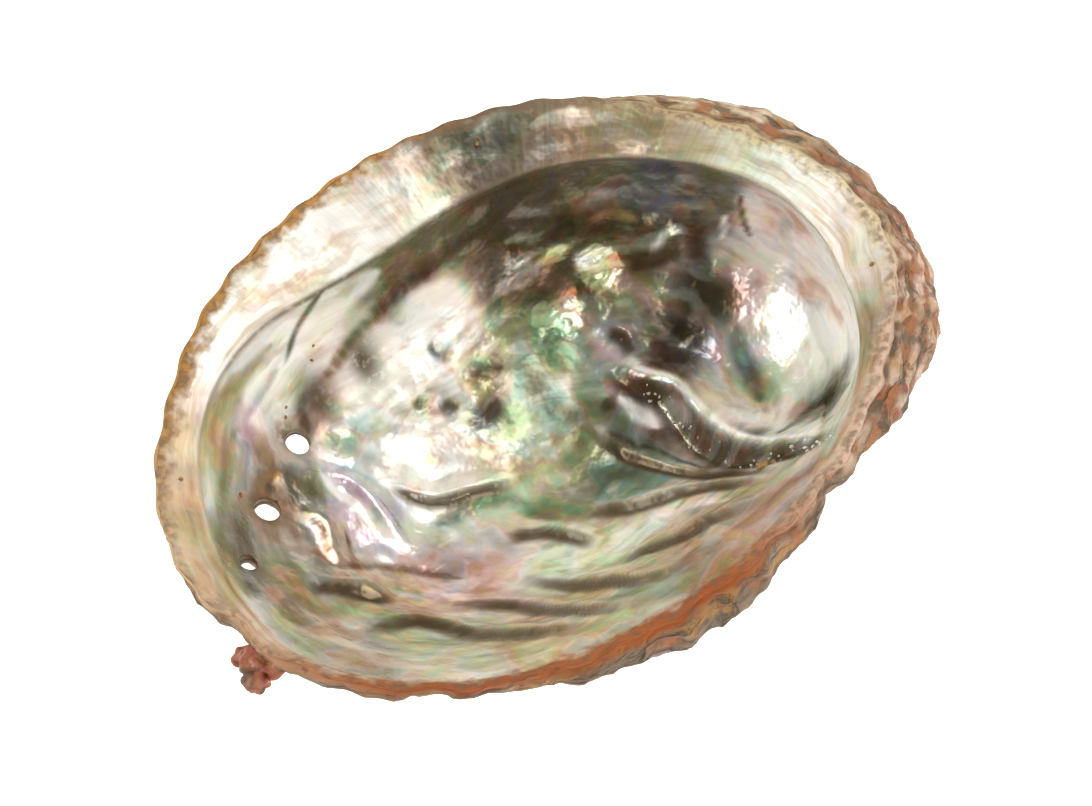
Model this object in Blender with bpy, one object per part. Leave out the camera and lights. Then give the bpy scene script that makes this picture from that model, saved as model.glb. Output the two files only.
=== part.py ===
# Abalone shell lying on its back with the opening up.
# +X points to the spire end, +Y to the shelf side, +Z up. Lengths here are in millimetres.

from math import pi, tau

import bmesh
import bpy
import numpy as np
from mathutils import Vector, noise

MM = 0.001

# Middle of the whole shell's plan, which becomes the origin
BOX_CENTRE = (0.6, -1.7)

# Outline of the opening and of the shelf's inner edge: one value every 15 degrees from +X,
# counterclockwise seen from above
RIM_RADIUS = (71.3, 68.3, 64.9, 61.9, 59.1, 57.0, 56.4, 57.5, 60.1, 63.9, 68.5, 74.4,
              77.4, 76.2, 72.4, 66.5, 61.2, 57.4, 55.1, 54.8, 56.6, 59.1, 63.4, 69.6)
EDGE_RADIUS = (62.5, 60.4, 55.6, 49.4, 44.6, 41.2, 39.4, 40.6, 45.4, 54.5, 61.6, 66.2,
               70.0, 72.6, 69.6, 64.0, 58.7, 54.8, 52.6, 52.0, 53.4, 55.6, 57.9, 60.4)
NARROWEST_SHELF = 2.2

# Waves of the rim in plan, the broad ones about an angle, and its waves in height
WAVE_DEPTH = 0.5
WAVE_COUNT = 23
WAVE_ANGLE = 265.0
WAVE_SPREAD = 60.0
RIPPLE_DEPTH = 0.3
RIPPLE_COUNT = 41
RIPPLE_START = 1.0
RIM_WAVE_HEIGHT = 0.3
RIM_WAVE_COUNT = 9

# How far the back swells past the rim, every 15 degrees
SIDE_SWELL = (9.6, 11.8, 9.2, 3.0, 1.0, 0.2, 0.2, 0.2, 0.3, 0.3, 0.3, 0.3,
              0.8, 1.2, 1.0, 1.0, 2.6, 4.6, 4.4, 3.2, 2.2, 6.3, 10.5, 9.2)
FULL_SWELL = 10.0

# How far under the rim it does so, and how far the outer and the inner wall lean from
# upright, every 30 degrees
SIDE_DROP = (10.0, 8.0, 5.0, 4.0, 4.0, 4.0, 4.0, 3.5, 5.0, 6.5, 5.0, 8.0)
OUTER_LEAN = (10.0, 14.0, 26.0, 36.0, 38.0, 38.0, 40.0, 44.0, 50.0, 50.0, 44.0, 28.0)
INNER_LEAN = (4.0, 4.0, 5.0, 10.0, 20.0, 34.0, 42.0, 48.0, 54.0, 54.0, 44.0, 14.0)

# Heights
RIM_HEIGHT = 45.0
RIM_DIP = 6.0
RIM_DIP_ANGLE = 8.0
RIM_DIP_SPREAD = 38.0
SHELF_DROP = 3.8
WIDE_SHELF = 9.0
LEAST_DROP = 0.55
SHELF_ROUNDING = 1.4
FLOOR_HEIGHT = 5.0
WORN_DEPTH = 1.1

# Plan centres of the bowl floor and of the back
FLOOR_CENTRE = np.array((6.0, 3.0))
BACK_CENTRE = np.array((9.0, -1.0))

# Handles of the wall curves, as shares of the height and of the way to the middle
UPRIGHT_HANDLE = 0.78
LEANING_HANDLE = 0.42
LEAN_LIMIT = 55.0
FLOOR_HANDLE = 0.58
BACK_HANDLE = 0.5

# Growth spiral of the back, about the apex of the spire
APEX = np.array((43.0, -21.0))
APEX_GAP = 0.4
RIM_SAMPLES = 720
SPIRAL_RATE = 0.51
CORD_COUNT = 44
CORD_HEIGHT = 0.45
GROWTH_STEPS = 8.5
GROWTH_HEIGHT = 0.55
WANDER_SIZE = 14.0
WANDER_SEED = 1
STEP_WANDER = 0.35
CORD_WANDER = 0.8
SPIRE_HEIGHT = 2.2
SPIRE_SIZE = 13.0
SUTURE_DEPTH = 1.4
SUTURE_RADIUS = 9.0
SUTURE_WIDTH = 2.2
MOUND_HEIGHT = 1.6
MOUND_RIM = 2.2

# Knobs of the back: height, size and seed of each layer
KNOBS = (
    (1.0, 9.0, 2),
    (0.6, 4.0, 3),
)

# Curl of the spire inside the bowl: plan path of its lip, and the lip's height over the bowl
CURL_PATH = ((25.0, 15.0), (26.2, 10.0), (27.5, 4.5), (29.8, -1.5), (29.0, -8.0), (28.0, -14.0),
             (27.8, -23.0), (29.8, -31.5), (33.0, -38.5), (38.0, -41.5))
CURL_HEIGHT = (0.3, 1.2, 3.0, 5.0, 6.5, 7.5, 7.5, 6.0, 3.0, 0.5)
CURL_SLOPE = 9.0
CURL_WALL = 6.5
POCKET_CENTRE = np.array((44.0, -12.0))
POCKET_SIZE = 14.0
POCKET_DEPTH = 1.5
RECESS_ANGLE = -28.0
RECESS_SPREAD = 26.0
RECESS_DEPTH = 4.5

# Samples of a path
PATH_SAMPLES = 60

# Breathing holes from the youngest: plan place, radius, and whether it is still open
HOLES = (
    (-64.0, 3.6, 1.6, True),
    (-52.7, 15.0, 2.4, True),
    (-38.4, 26.2, 2.3, True),
    (-29.0, 30.4, 1.9, False),
    (-17.7, 32.2, 1.8, False),
)
FUNNEL_SIZE = 4.6
FUNNEL_DEPTH = 1.6
CLOSED_FUNNEL = 0.7
HOLE_TILT = (0.12, 0.30, -0.95)
HOLE_SIDES = 20
HOLE_LENGTH = 26.0

# Ridges of the floor: plan path, half width and height, and the share of a half wave that
# their height runs through
FOLDS = (
    (((-38.5, 19.0), (-34.5, 16.0), (-33.8, 8.0), (-33.0, 0.5)), 2.2, 1.9),
    (((-48.0, 13.0), (-45.2, 9.0), (-47.0, 3.0), (-45.4, 0.5)), 2.0, 1.5),
    (((-27.0, 14.0), (-22.3, 8.3), (-14.0, 5.7), (-6.0, 3.5)), 1.9, 1.4),
    (((-15.5, -6.5), (-7.5, -11.3), (-3.3, -20.2)), 2.0, 1.5),
    (((14.0, 1.0), (16.3, -8.2), (19.8, -18.6), (22.5, -27.8), (25.0, -37.0)), 1.8, 1.3),
    (((1.3, -12.0), (8.8, -18.8), (17.5, -25.8), (21.5, -37.0)), 2.0, 1.5),
    (((-5.5, -28.4), (1.2, -34.0), (10.5, -39.3), (18.6, -44.4)), 2.0, 1.4),
    (((-19.0, -17.7), (-13.3, -30.2), (-8.9, -41.0), (0.0, -45.5)), 2.2, 1.3),
    (((-34.8, -15.6), (-25.0, -24.0), (-21.0, -39.0), (-13.0, -47.0), (2.0, -50.0)), 2.2, 1.3),
    (((-57.0, -2.0), (-48.5, -4.7), (-43.0, -10.0)), 2.2, 1.3),
    (((-55.0, -15.6), (-43.0, -17.0), (-35.6, -29.6), (-28.0, -39.0), (-20.0, -47.0)), 2.4, 1.4),
    (((29.5, 18.0), (31.5, 14.0), (30.0, 9.0)), 2.0, 1.5),
    (((40.0, 25.5), (45.0, 22.0), (49.0, 20.5)), 2.4, 1.3),
)
FOLD_START = 0.12
FOLD_SPAN = 0.76

# Blisters and hollows of the floor: plan place, size, and height, below zero for a hollow
BLISTERS = (
    (-7.2, 26.6, 3.4, 1.4),
    (-2.6, 18.9, 3.6, -1.2),
    (-15.0, 26.0, 3.2, 1.2),
    (-28.6, 23.5, 3.2, 1.1),
    (19.5, 7.0, 3.8, 1.2),
    (12.8, -6.6, 4.0, -1.0),
    (26.4, 26.2, 3.8, -1.2),
    (38.8, 24.5, 3.6, -1.2),
    (52.0, 10.0, 3.6, -1.4),
)

# Crust lump on the lip beside the youngest notch: place and radius of each ball, and its
# knobs, as shares of the radius
LUMPS = (
    (-76.2, -16.4, 41.2, 2.9),
    (-77.6, -18.8, 39.6, 2.5),
    (-76.4, -14.0, 39.4, 2.3),
    (-74.2, -19.0, 40.6, 2.5),
)
LUMP_KNOBS = 0.35
LUMP_GRAIN = 0.5
NOTCH_ANGLE = 187.0
NOTCH_SPREAD = 3.0
NOTCH_DEPTH = 1.8

# Shares of the way over which the relief grows in from the rim
RELIEF_FADE = 0.22
BACK_FADE = 0.3

# Fineness of the solid
SEGMENTS = 88
RINGS = 54
SHELF_RINGS = 5.0 / 27.0
LIP_SHARE = 3.0 / 27.0
SPIRE_LIP_SHARE = 7.0 / 27.0

# Samples of the inner face round it and down it, where its height is looked up
FLOOR_SAMPLES = (241, 90)

# Shift of the noise for each seed
SEED_SHIFT = Vector((17.3, 5.1, 9.7))

# Look of the plain solid
SHELL_COLOUR = (0.62, 0.60, 0.52, 1.0)
SHELL_ROUGHNESS = 0.3


def clear_scene():
    for item in list(bpy.data.objects):
        bpy.data.objects.remove(item)


def placed(x, y, z):
    # A design point in metres, with the origin under the middle of the shell
    return Vector((x - BOX_CENTRE[0], y - BOX_CENTRE[1], z)) * MM


def round_curve(values, angle):
    # Smooth closed curve through evenly spaced values
    table = np.array(values)
    count = len(table)
    place = (angle % tau) / tau * count
    first = np.floor(place).astype(int)
    f = place - first
    p0, p1, p2, p3 = (table[(first + step) % count] for step in (-1, 0, 1, 2))
    bend = 2 * p0 - 5 * p1 + 4 * p2 - p3 + (3 * p1 - p0 - 3 * p2 + p3) * f
    return p1 + 0.5 * f * (p2 - p0 + f * bend)


def bell(angle, centre, spread):
    away = (np.degrees(angle) - centre + 180.0) % 360.0 - 180.0
    return np.exp(-(away / spread) ** 2)


def blend(low, high, share):
    return low + (high - low) * share


def smooth(value):
    value = np.clip(value, 0.0, 1.0)
    return value * value * (3.0 - 2.0 * value)


def noise_at(points, size, seed):
    # Smooth noise between about -1 and 1 at plan or space points
    return np.array([noise.noise(Vector(p) / size + seed * SEED_SHIFT) for p in points])


def plan(angle, radius):
    return np.stack((radius * np.cos(angle), radius * np.sin(angle)), axis=-1)


def rim_radius(angle):
    wave = WAVE_DEPTH * np.sin(WAVE_COUNT * angle) * bell(angle, WAVE_ANGLE, WAVE_SPREAD)
    ripple = RIPPLE_DEPTH * np.sin(RIPPLE_COUNT * angle + RIPPLE_START)
    notch = NOTCH_DEPTH * bell(angle, NOTCH_ANGLE, NOTCH_SPREAD)
    return round_curve(RIM_RADIUS, angle) + wave + ripple - notch


def rim_height(angle):
    wave = RIM_WAVE_HEIGHT * np.sin(RIM_WAVE_COUNT * angle)
    return RIM_HEIGHT - RIM_DIP * bell(angle, RIM_DIP_ANGLE, RIM_DIP_SPREAD) + wave


def path_points(path):
    # Even samples of a smooth open curve through the path's points
    table = np.array([path[0]] + list(path) + [path[-1]], dtype=float)
    place = np.linspace(0.0, len(path) - 1.0, PATH_SAMPLES)
    first = np.minimum(place.astype(int), len(path) - 2)
    f = (place - first)[:, None]
    p0, p1, p2, p3 = (table[first + step] for step in range(4))
    bend = 2 * p0 - 5 * p1 + 4 * p2 - p3 + (3 * p1 - p0 - 3 * p2 + p3) * f
    return p1 + 0.5 * f * (p2 - p0 + f * bend)


def near_path(points, path):
    # Signed distance to a path, above zero on its left, and the share of the path passed
    line = path_points(path)
    gap = points[:, None, :] - line[None, :, :]
    nearest = np.argmin((gap ** 2).sum(axis=2), axis=1)
    heading = np.gradient(line, axis=0)[nearest]
    offset = gap[np.arange(len(points)), nearest]
    side = np.sign(heading[:, 0] * offset[:, 1] - heading[:, 1] * offset[:, 0])
    return side * np.hypot(offset[:, 0], offset[:, 1]), nearest / (len(line) - 1.0)


def wall_curve(turn, start, end, lean, reach, level):
    # A wall that leaves its edge at a lean from upright and ends level in the middle.
    # Gives the share of the way out from the middle, the height, and the lean on the way.
    fall = start - end
    handle = blend(UPRIGHT_HANDLE, LEANING_HANDLE, np.clip(lean / LEAN_LIMIT, 0.0, 1.0)) * fall
    inward = handle * np.tan(np.radians(lean)) / reach
    rest = 1.0 - turn
    edge, second, third = rest ** 3, 3.0 * rest ** 2 * turn, 3.0 * rest * turn ** 2
    out = edge + second * (1.0 - inward) + third * level
    height = start * edge + (start - handle) * second + end * (third + turn ** 3)
    go_in = reach * (rest ** 2 * inward + 2.0 * rest * turn * (1.0 - inward - level)
                     + turn ** 2 * level)
    go_down = rest ** 2 * handle + 2.0 * rest * turn * (fall - handle)
    return out, height, np.arctan2(go_in, go_down)


def curl(points):
    # The lip slopes gently into the pocket on its left and drops as a wall on its right
    distance, share = near_path(points, CURL_PATH)
    height = np.interp(share, np.linspace(0.0, 1.0, len(CURL_HEIGHT)), CURL_HEIGHT)
    gentle = np.exp(-(distance / CURL_SLOPE) ** 2)
    wall = smooth(1.0 + distance / CURL_WALL)
    return height * np.where(distance >= 0.0, gentle, wall)


def pocket(points):
    away = np.hypot(*(points - POCKET_CENTRE).T)
    return -POCKET_DEPTH * np.exp(-(away / POCKET_SIZE) ** 2)


def folds(points):
    total = np.zeros(len(points))
    for path, width, height in FOLDS:
        distance, share = near_path(points, path)
        ends = np.sin(pi * (FOLD_START + FOLD_SPAN * share))
        total += height * ends * np.exp(-(distance / width) ** 2)
    for x, y, size, height in BLISTERS:
        away = np.hypot(points[:, 0] - x, points[:, 1] - y)
        total += height * np.exp(-(away / size) ** 2)
    return total


def funnels(points):
    total = np.zeros(len(points))
    for x, y, _, is_open in HOLES:
        away = np.hypot(points[:, 0] - x, points[:, 1] - y)
        depth = FUNNEL_DEPTH if is_open else CLOSED_FUNNEL * FUNNEL_DEPTH
        total -= depth * np.exp(-(away / FUNNEL_SIZE) ** 2)
    return total


def inside(angle, share):
    # Inner face: share 0 is the rim's crest, 1 is the middle of the floor
    rim = rim_radius(angle)
    top = rim_height(angle)
    edge = np.minimum(round_curve(EDGE_RADIUS, angle), rim - NARROWEST_SHELF)
    drop = SHELF_DROP * np.clip((rim - edge) / WIDE_SHELF, LEAST_DROP, 1.0)
    on_shelf = np.clip(share / SHELF_RINGS, 0.0, 1.0)
    shelf_radius = blend(rim, edge, on_shelf)
    shelf_height = top - drop * on_shelf ** SHELF_ROUNDING

    turn = np.clip((share - SHELF_RINGS) / (1.0 - SHELF_RINGS), 0.0, 1.0)
    way = plan(angle, edge) - FLOOR_CENTRE
    reach = np.hypot(*way.T)
    lean = round_curve(INNER_LEAN, angle)
    out, wall_height, slope = wall_curve(turn, top - drop, FLOOR_HEIGHT, lean, reach,
                                         FLOOR_HANDLE)
    depth = (top - drop - wall_height) / (top - drop - FLOOR_HEIGHT)
    recess = RECESS_DEPTH * bell(angle, RECESS_ANGLE, RECESS_SPREAD) * 4.0 * depth * (1.0 - depth)
    wall = FLOOR_CENTRE + way * out[:, None] + plan(angle, recess)

    in_bowl = share > SHELF_RINGS
    place = np.where(in_bowl[:, None], wall, plan(angle, shelf_radius))
    height = np.where(in_bowl, wall_height, shelf_height)
    fade = smooth((share - SHELF_RINGS) / RELIEF_FADE)
    height = height + (curl(place) + pocket(place)) * fade
    relief = (folds(place) + funnels(place)) * fade
    inward = -way / reach[:, None]
    facing = np.column_stack((inward * np.cos(slope)[:, None], np.sin(slope)))
    return np.column_stack((place, height)) + facing * relief[:, None]


def growth(points):
    # Age of the shell at a point of the back, 0 at the rim, and its angle along the spiral
    offset = points - APEX
    distance = np.maximum(np.hypot(offset[:, 0], offset[:, 1]), APEX_GAP)
    heading = np.arctan2(offset[:, 1], offset[:, 0])
    reach = rim_reach(heading)
    age = np.log(reach / distance)
    return age, heading - np.log(distance) / SPIRAL_RATE, distance


def rim_reach(heading):
    # Distance from the apex to the rim along each heading
    angle = np.linspace(0.0, tau, RIM_SAMPLES + 1)[:-1]
    offset = plan(angle, round_curve(RIM_RADIUS, angle)) - APEX
    around = np.arctan2(offset[:, 1], offset[:, 0])
    order = np.argsort(around)
    length = np.hypot(offset[:, 0], offset[:, 1])[order]
    return np.interp(heading, around[order], length, period=tau)


def back_relief(place):
    # Height of the back's growth steps, cords, knobs, hole mounds and spire over its plain form
    age, phase, distance = growth(place[:, :2])
    wander = noise_at(place, WANDER_SIZE, WANDER_SEED)
    steps = (age * GROWTH_STEPS + STEP_WANDER * wander) % 1.0
    relief = GROWTH_HEIGHT * (1.0 - steps) ** 2
    relief += CORD_HEIGHT * np.sin(phase * CORD_COUNT / tau + CORD_WANDER * wander)
    for height, size, seed in KNOBS:
        relief += height * noise_at(place, size, seed)
    relief += SPIRE_HEIGHT * np.exp(-(distance / SPIRE_SIZE) ** 2)
    relief -= SUTURE_DEPTH * np.exp(-((distance - SUTURE_RADIUS) / SUTURE_WIDTH) ** 2)
    for x, y, radius, _ in HOLES:
        away = np.hypot(place[:, 0] - x, place[:, 1] - y)
        relief += MOUND_HEIGHT * np.exp(-(away / (radius + MOUND_RIM)) ** 2)
    return relief


def outside(angle, share):
    # Outer face: share 0 is the rim's crest, 1 is the middle of the back
    rim = rim_radius(angle)
    top = rim_height(angle)
    swell = round_curve(SIDE_SWELL, angle)
    waist = top - round_curve(SIDE_DROP, angle)
    lip_share = blend(LIP_SHARE, SPIRE_LIP_SHARE, np.clip(swell / FULL_SWELL, 0.0, 1.0))
    bend = 0.5 * pi * np.clip(share / lip_share, 0.0, 1.0)
    lip_radius = rim + swell * np.sin(bend)
    lip_height = blend(waist, top, np.cos(bend))

    turn = np.clip((share - lip_share) / (1.0 - lip_share), 0.0, 1.0)
    way = plan(angle, rim + swell) - BACK_CENTRE
    lean = round_curve(OUTER_LEAN, angle)
    reach = np.hypot(*way.T)
    out, under_height, slope = wall_curve(turn, waist, -WORN_DEPTH, lean, reach,
                                          BACK_HANDLE)
    under = BACK_CENTRE + way * out[:, None]

    below = share > lip_share
    place = np.where(below[:, None], under, plan(angle, lip_radius))
    height = np.where(below, under_height, lip_height)
    points = np.column_stack((place, height))

    relief = back_relief(points) * smooth(share / BACK_FADE)
    outward = way / reach[:, None]
    facing = np.column_stack((outward * np.cos(slope)[:, None], -np.sin(slope)))
    points = points + facing * relief[:, None]
    points[:, 2] = np.maximum(points[:, 2], 0.0)
    return points


def shell_mesh():
    # A sphere whose upper half is pushed in to become the bowl
    mesh = bmesh.new()
    bmesh.ops.create_uvsphere(mesh, u_segments=SEGMENTS, v_segments=RINGS, radius=1.0)
    verts = list(mesh.verts)
    ball = np.array([v.co for v in verts])
    angle = np.arctan2(ball[:, 1], ball[:, 0])
    share = np.arcsin(np.clip(ball[:, 2], -1.0, 1.0)) / (0.5 * pi)
    upper = share > 0.0
    points = np.where(upper[:, None], inside(angle, np.abs(share)), outside(angle, np.abs(share)))
    for vert, point in zip(verts, points):
        vert.co = placed(*point)
    data = bpy.data.meshes.new("shell")
    mesh.to_mesh(data)
    mesh.free()
    return data


def lump_mesh(name, radius):
    mesh = bmesh.new()
    bmesh.ops.create_icosphere(mesh, subdivisions=2, radius=radius * MM)
    for vert in mesh.verts:
        swell = 1.0 + LUMP_KNOBS * noise.noise(vert.co / (LUMP_GRAIN * radius * MM))
        vert.co = vert.co * swell
    data = bpy.data.meshes.new(name)
    mesh.to_mesh(data)
    mesh.free()
    return data


def cylinder_mesh(name, radius, length):
    mesh = bmesh.new()
    bmesh.ops.create_cone(mesh, cap_ends=True, segments=HOLE_SIDES, radius1=radius * MM,
                          radius2=radius * MM, depth=length * MM)
    data = bpy.data.meshes.new(name)
    mesh.to_mesh(data)
    mesh.free()
    return data


def floor_at(x, y):
    # Height of the inner face over a plan point, from a fan of its own points
    round_it, down_it = FLOOR_SAMPLES
    angle, share = np.meshgrid(np.linspace(0.0, tau, round_it), np.linspace(SHELF_RINGS, 1.0, down_it))
    points = inside(angle.ravel(), share.ravel())
    nearest = np.argmin(np.hypot(points[:, 0] - x, points[:, 1] - y))
    return points[nearest, 2]


def collection(name):
    group = bpy.data.collections.new(name)
    bpy.context.scene.collection.children.link(group)
    return group


def cutter(name, data, group):
    item = bpy.data.objects.new(name, data)
    item.hide_render = True
    item.display_type = "WIRE"
    group.objects.link(item)
    return item


def boolean(target, tool, operation):
    change = target.modifiers.new(tool.name, "BOOLEAN")
    change.operation = operation
    change.solver = "EXACT"
    change.object = tool


def shell_material():
    material = bpy.data.materials.new("shell")
    material.use_nodes = True
    surface = material.node_tree.nodes["Principled BSDF"]
    surface.inputs["Base Color"].default_value = SHELL_COLOUR
    surface.inputs["Roughness"].default_value = SHELL_ROUGHNESS
    return material


def build():
    clear_scene()
    parts = collection("abalone_shell")
    tools = collection("cutters")
    shell = bpy.data.objects.new("shell", shell_mesh())
    parts.objects.link(shell)
    shell.data.materials.append(shell_material())
    shell.data.shade_smooth()

    for number, (x, y, z, radius) in enumerate(LUMPS, start=1):
        lump = cutter(f"lump_{number}", lump_mesh(f"lump_{number}", radius), tools)
        lump.location = placed(x, y, z)
        boolean(shell, lump, "UNION")

    direction = Vector(HOLE_TILT).to_track_quat("Z", "Y")
    for number, (x, y, radius, is_open) in enumerate(HOLES, start=1):
        if is_open:
            drill = cutter(f"hole_{number}", cylinder_mesh(f"hole_{number}", radius, HOLE_LENGTH), tools)
            drill.location = placed(x, y, floor_at(x, y))
            drill.rotation_mode = "QUATERNION"
            drill.rotation_quaternion = direction
            boolean(shell, drill, "DIFFERENCE")


build()
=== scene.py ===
# Abalone shell lying on its back, opening up: its mother of pearl, its crust and the grains in it.
# Design lengths are in millimetres: +X to the spire end, +Y to the shelf side, +Z up.

import random
from math import cos, pi, radians, sin, tau

import bmesh
import bpy
import numpy as np
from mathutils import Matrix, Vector, kdtree, noise
from mathutils.bvhtree import BVHTree


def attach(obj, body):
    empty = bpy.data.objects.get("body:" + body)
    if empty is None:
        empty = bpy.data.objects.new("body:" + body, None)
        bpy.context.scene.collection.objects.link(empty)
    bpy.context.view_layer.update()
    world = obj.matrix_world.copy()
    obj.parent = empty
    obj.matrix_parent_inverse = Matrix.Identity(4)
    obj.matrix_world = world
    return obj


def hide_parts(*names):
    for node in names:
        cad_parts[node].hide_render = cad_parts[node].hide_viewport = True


MM = 0.001

# Middle of the whole shell's plan, which is the origin
BOX_CENTRE = (0.6, -1.7)

# Outline of the opening: one value every 15 degrees from +X, counterclockwise seen from above
RIM_RADIUS = (71.3, 68.3, 64.9, 61.9, 59.1, 57.0, 56.4, 57.5, 60.1, 63.9, 68.5, 74.4,
              77.4, 76.2, 72.4, 66.5, 61.2, 57.4, 55.1, 54.8, 56.6, 59.1, 63.4, 69.6)
EDGE_RADIUS = (62.5, 60.4, 55.6, 49.4, 44.6, 41.2, 39.4, 40.6, 45.4, 54.5, 61.6, 66.2,
               70.0, 72.6, 69.6, 64.0, 58.7, 54.8, 52.6, 52.0, 53.4, 55.6, 57.9, 60.4)
NARROWEST_SHELF = 2.2

# Waves of the near rim, ripples all round and waves of the rim's height
WAVE_DEPTH = 0.5
WAVE_COUNT = 23
WAVE_ANGLE = 265.0
WAVE_SPREAD = 60.0
RIPPLE_DEPTH = 0.3
RIPPLE_COUNT = 41
RIPPLE_START = 1.0
RIM_WAVE_HEIGHT = 0.3
RIM_WAVE_COUNT = 9

# How far the back swells past the rim, every 15 degrees
SIDE_SWELL = (9.6, 11.8, 9.2, 3.0, 1.0, 0.2, 0.2, 0.2, 0.3, 0.3, 0.3, 0.3,
              0.8, 1.2, 1.0, 1.0, 2.6, 4.6, 4.4, 3.2, 2.2, 6.3, 10.5, 9.2)
FULL_SWELL = 10.0

# How far under the rim it does so, and how far the outer and the inner wall lean from
# upright, every 30 degrees
SIDE_DROP = (10.0, 8.0, 5.0, 4.0, 4.0, 4.0, 4.0, 3.5, 5.0, 6.5, 5.0, 8.0)
OUTER_LEAN = (10.0, 14.0, 26.0, 36.0, 38.0, 38.0, 40.0, 44.0, 50.0, 50.0, 44.0, 28.0)
INNER_LEAN = (4.0, 4.0, 5.0, 10.0, 20.0, 34.0, 42.0, 48.0, 54.0, 54.0, 44.0, 14.0)

# Heights
RIM_HEIGHT = 45.0
RIM_DIP = 6.0
RIM_DIP_ANGLE = 8.0
RIM_DIP_SPREAD = 38.0
SHELF_DROP = 3.8
WIDE_SHELF = 9.0
LEAST_DROP = 0.55
SHELF_ROUNDING = 1.4
FLOOR_HEIGHT = 5.0
WORN_DEPTH = 1.1

# Plan centres of the bowl floor and of the back
FLOOR_CENTRE = np.array((6.0, 3.0))
BACK_CENTRE = np.array((9.0, -1.0))

# Handles of the wall curves, as shares of the height and of the way to the middle
UPRIGHT_HANDLE = 0.78
LEANING_HANDLE = 0.42
LEAN_LIMIT = 55.0
FLOOR_HANDLE = 0.58
BACK_HANDLE = 0.5

# Growth spiral of the back, about the apex of the spire
APEX = np.array((43.0, -21.0))
APEX_GAP = 0.4
RIM_SAMPLES = 720
SPIRAL_RATE = 0.51
CORD_COUNT = 44
CORD_HEIGHT = 0.45
GROWTH_STEPS = 8.5
GROWTH_HEIGHT = 0.55
WANDER_SIZE = 14.0
WANDER_SEED = 1
STEP_WANDER = 0.35
CORD_WANDER = 0.8
SPIRE_HEIGHT = 2.2
SPIRE_SIZE = 13.0
SUTURE_DEPTH = 1.4
SUTURE_RADIUS = 9.0
SUTURE_WIDTH = 2.2
MOUND_HEIGHT = 1.6
MOUND_RIM = 2.2

# Knobs of the back: height, size and seed of each layer
KNOBS = (
    (0.8, 9.0, 2),
    (0.55, 4.0, 3),
    (0.3, 1.8, 4),
)

# Hammered dents of the bowl, in the same form
DENTS = (
    (0.45, 7.0, 11),
    (0.2, 3.6, 12),
)
DENT_FADE = 0.05

# Broad swells of the floor, strongest on the shelf side
SWELLS = (
    (1.5, 13.0, 13),
    (0.7, 7.5, 14),
)
SWELL_MIDDLE = 2.0
SWELL_SPREAD = 24.0

# Ridges of the crust along the rim, strongest at the spire end
RIDGE_STEP = 3.4
RIDGE_HEIGHT = 0.7
RIDGE_WANDER = 0.35
RIDGE_GRAIN = 6.0
RIDGE_SEED = 33
RIDGE_ANGLE = 335.0
RIDGE_SPREAD = 60.0

# Pitted crust from the rim down, in the same form
PITTING = (
    (0.8, 3.6, 31),
    (0.55, 1.9, 32),
)
PITTING_FADE = 0.05
PITTING_SINK = 0.95

# Shares of the grooves and pits in the dirt of the hollows
GROOVE_DIRT = 0.75
PIT_DIRT = 0.9

# Nearest that the crust comes to the front
NEAR_LIMIT = -60.1

# Curl of the spire inside the bowl: plan path of its lip, and the lip's height over the bowl
CURL_PATH = ((25.0, 15.0), (26.2, 10.0), (27.5, 4.5), (29.8, -1.5), (29.0, -8.0), (28.0, -14.0),
             (27.8, -23.0), (29.8, -31.5), (33.0, -38.5), (38.0, -41.5))
CURL_HEIGHT = (0.3, 1.2, 3.0, 5.0, 6.5, 7.5, 7.5, 6.0, 3.0, 0.5)
CURL_SLOPE = 9.0
CURL_WALL = 3.4
CURL_STRONG_HEIGHT = 3.0
# Middle and spread across the curl's wall of its brown painted shade, and width of the white
# painted highlight along its lip
WALL_TINT_MIDDLE = 0.7
WALL_TINT_SPREAD = 0.68
LIP_GLINT = 0.9
POCKET_CENTRE = np.array((44.0, -12.0))
POCKET_SIZE = 14.0
POCKET_DEPTH = 1.5
RECESS_ANGLE = -28.0
RECESS_SPREAD = 26.0
RECESS_DEPTH = 4.5

# Samples of a path
PATH_SAMPLES = 160

# Breathing holes from the youngest: plan place, radius, and whether it is still open
HOLES = (
    (-64.0, 3.6, 1.6, True),
    (-52.7, 15.0, 2.4, True),
    (-38.4, 26.2, 2.3, True),
    (-29.0, 30.4, 1.9, False),
    (-17.7, 32.2, 1.8, False),
)
# Size and depth of the hollows round the holes, the depth share of closed ones, and how far past
# each hole their brown painted shade reaches
FUNNEL_SIZE = 4.6
FUNNEL_DEPTH = 1.6
CLOSED_FUNNEL = 0.7
FUNNEL_SHADE = 1.6
HOLE_TILT = (0.12, 0.30, -0.95)
HOLE_SIDES = 48
HOLE_LENGTH = 26.0

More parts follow.
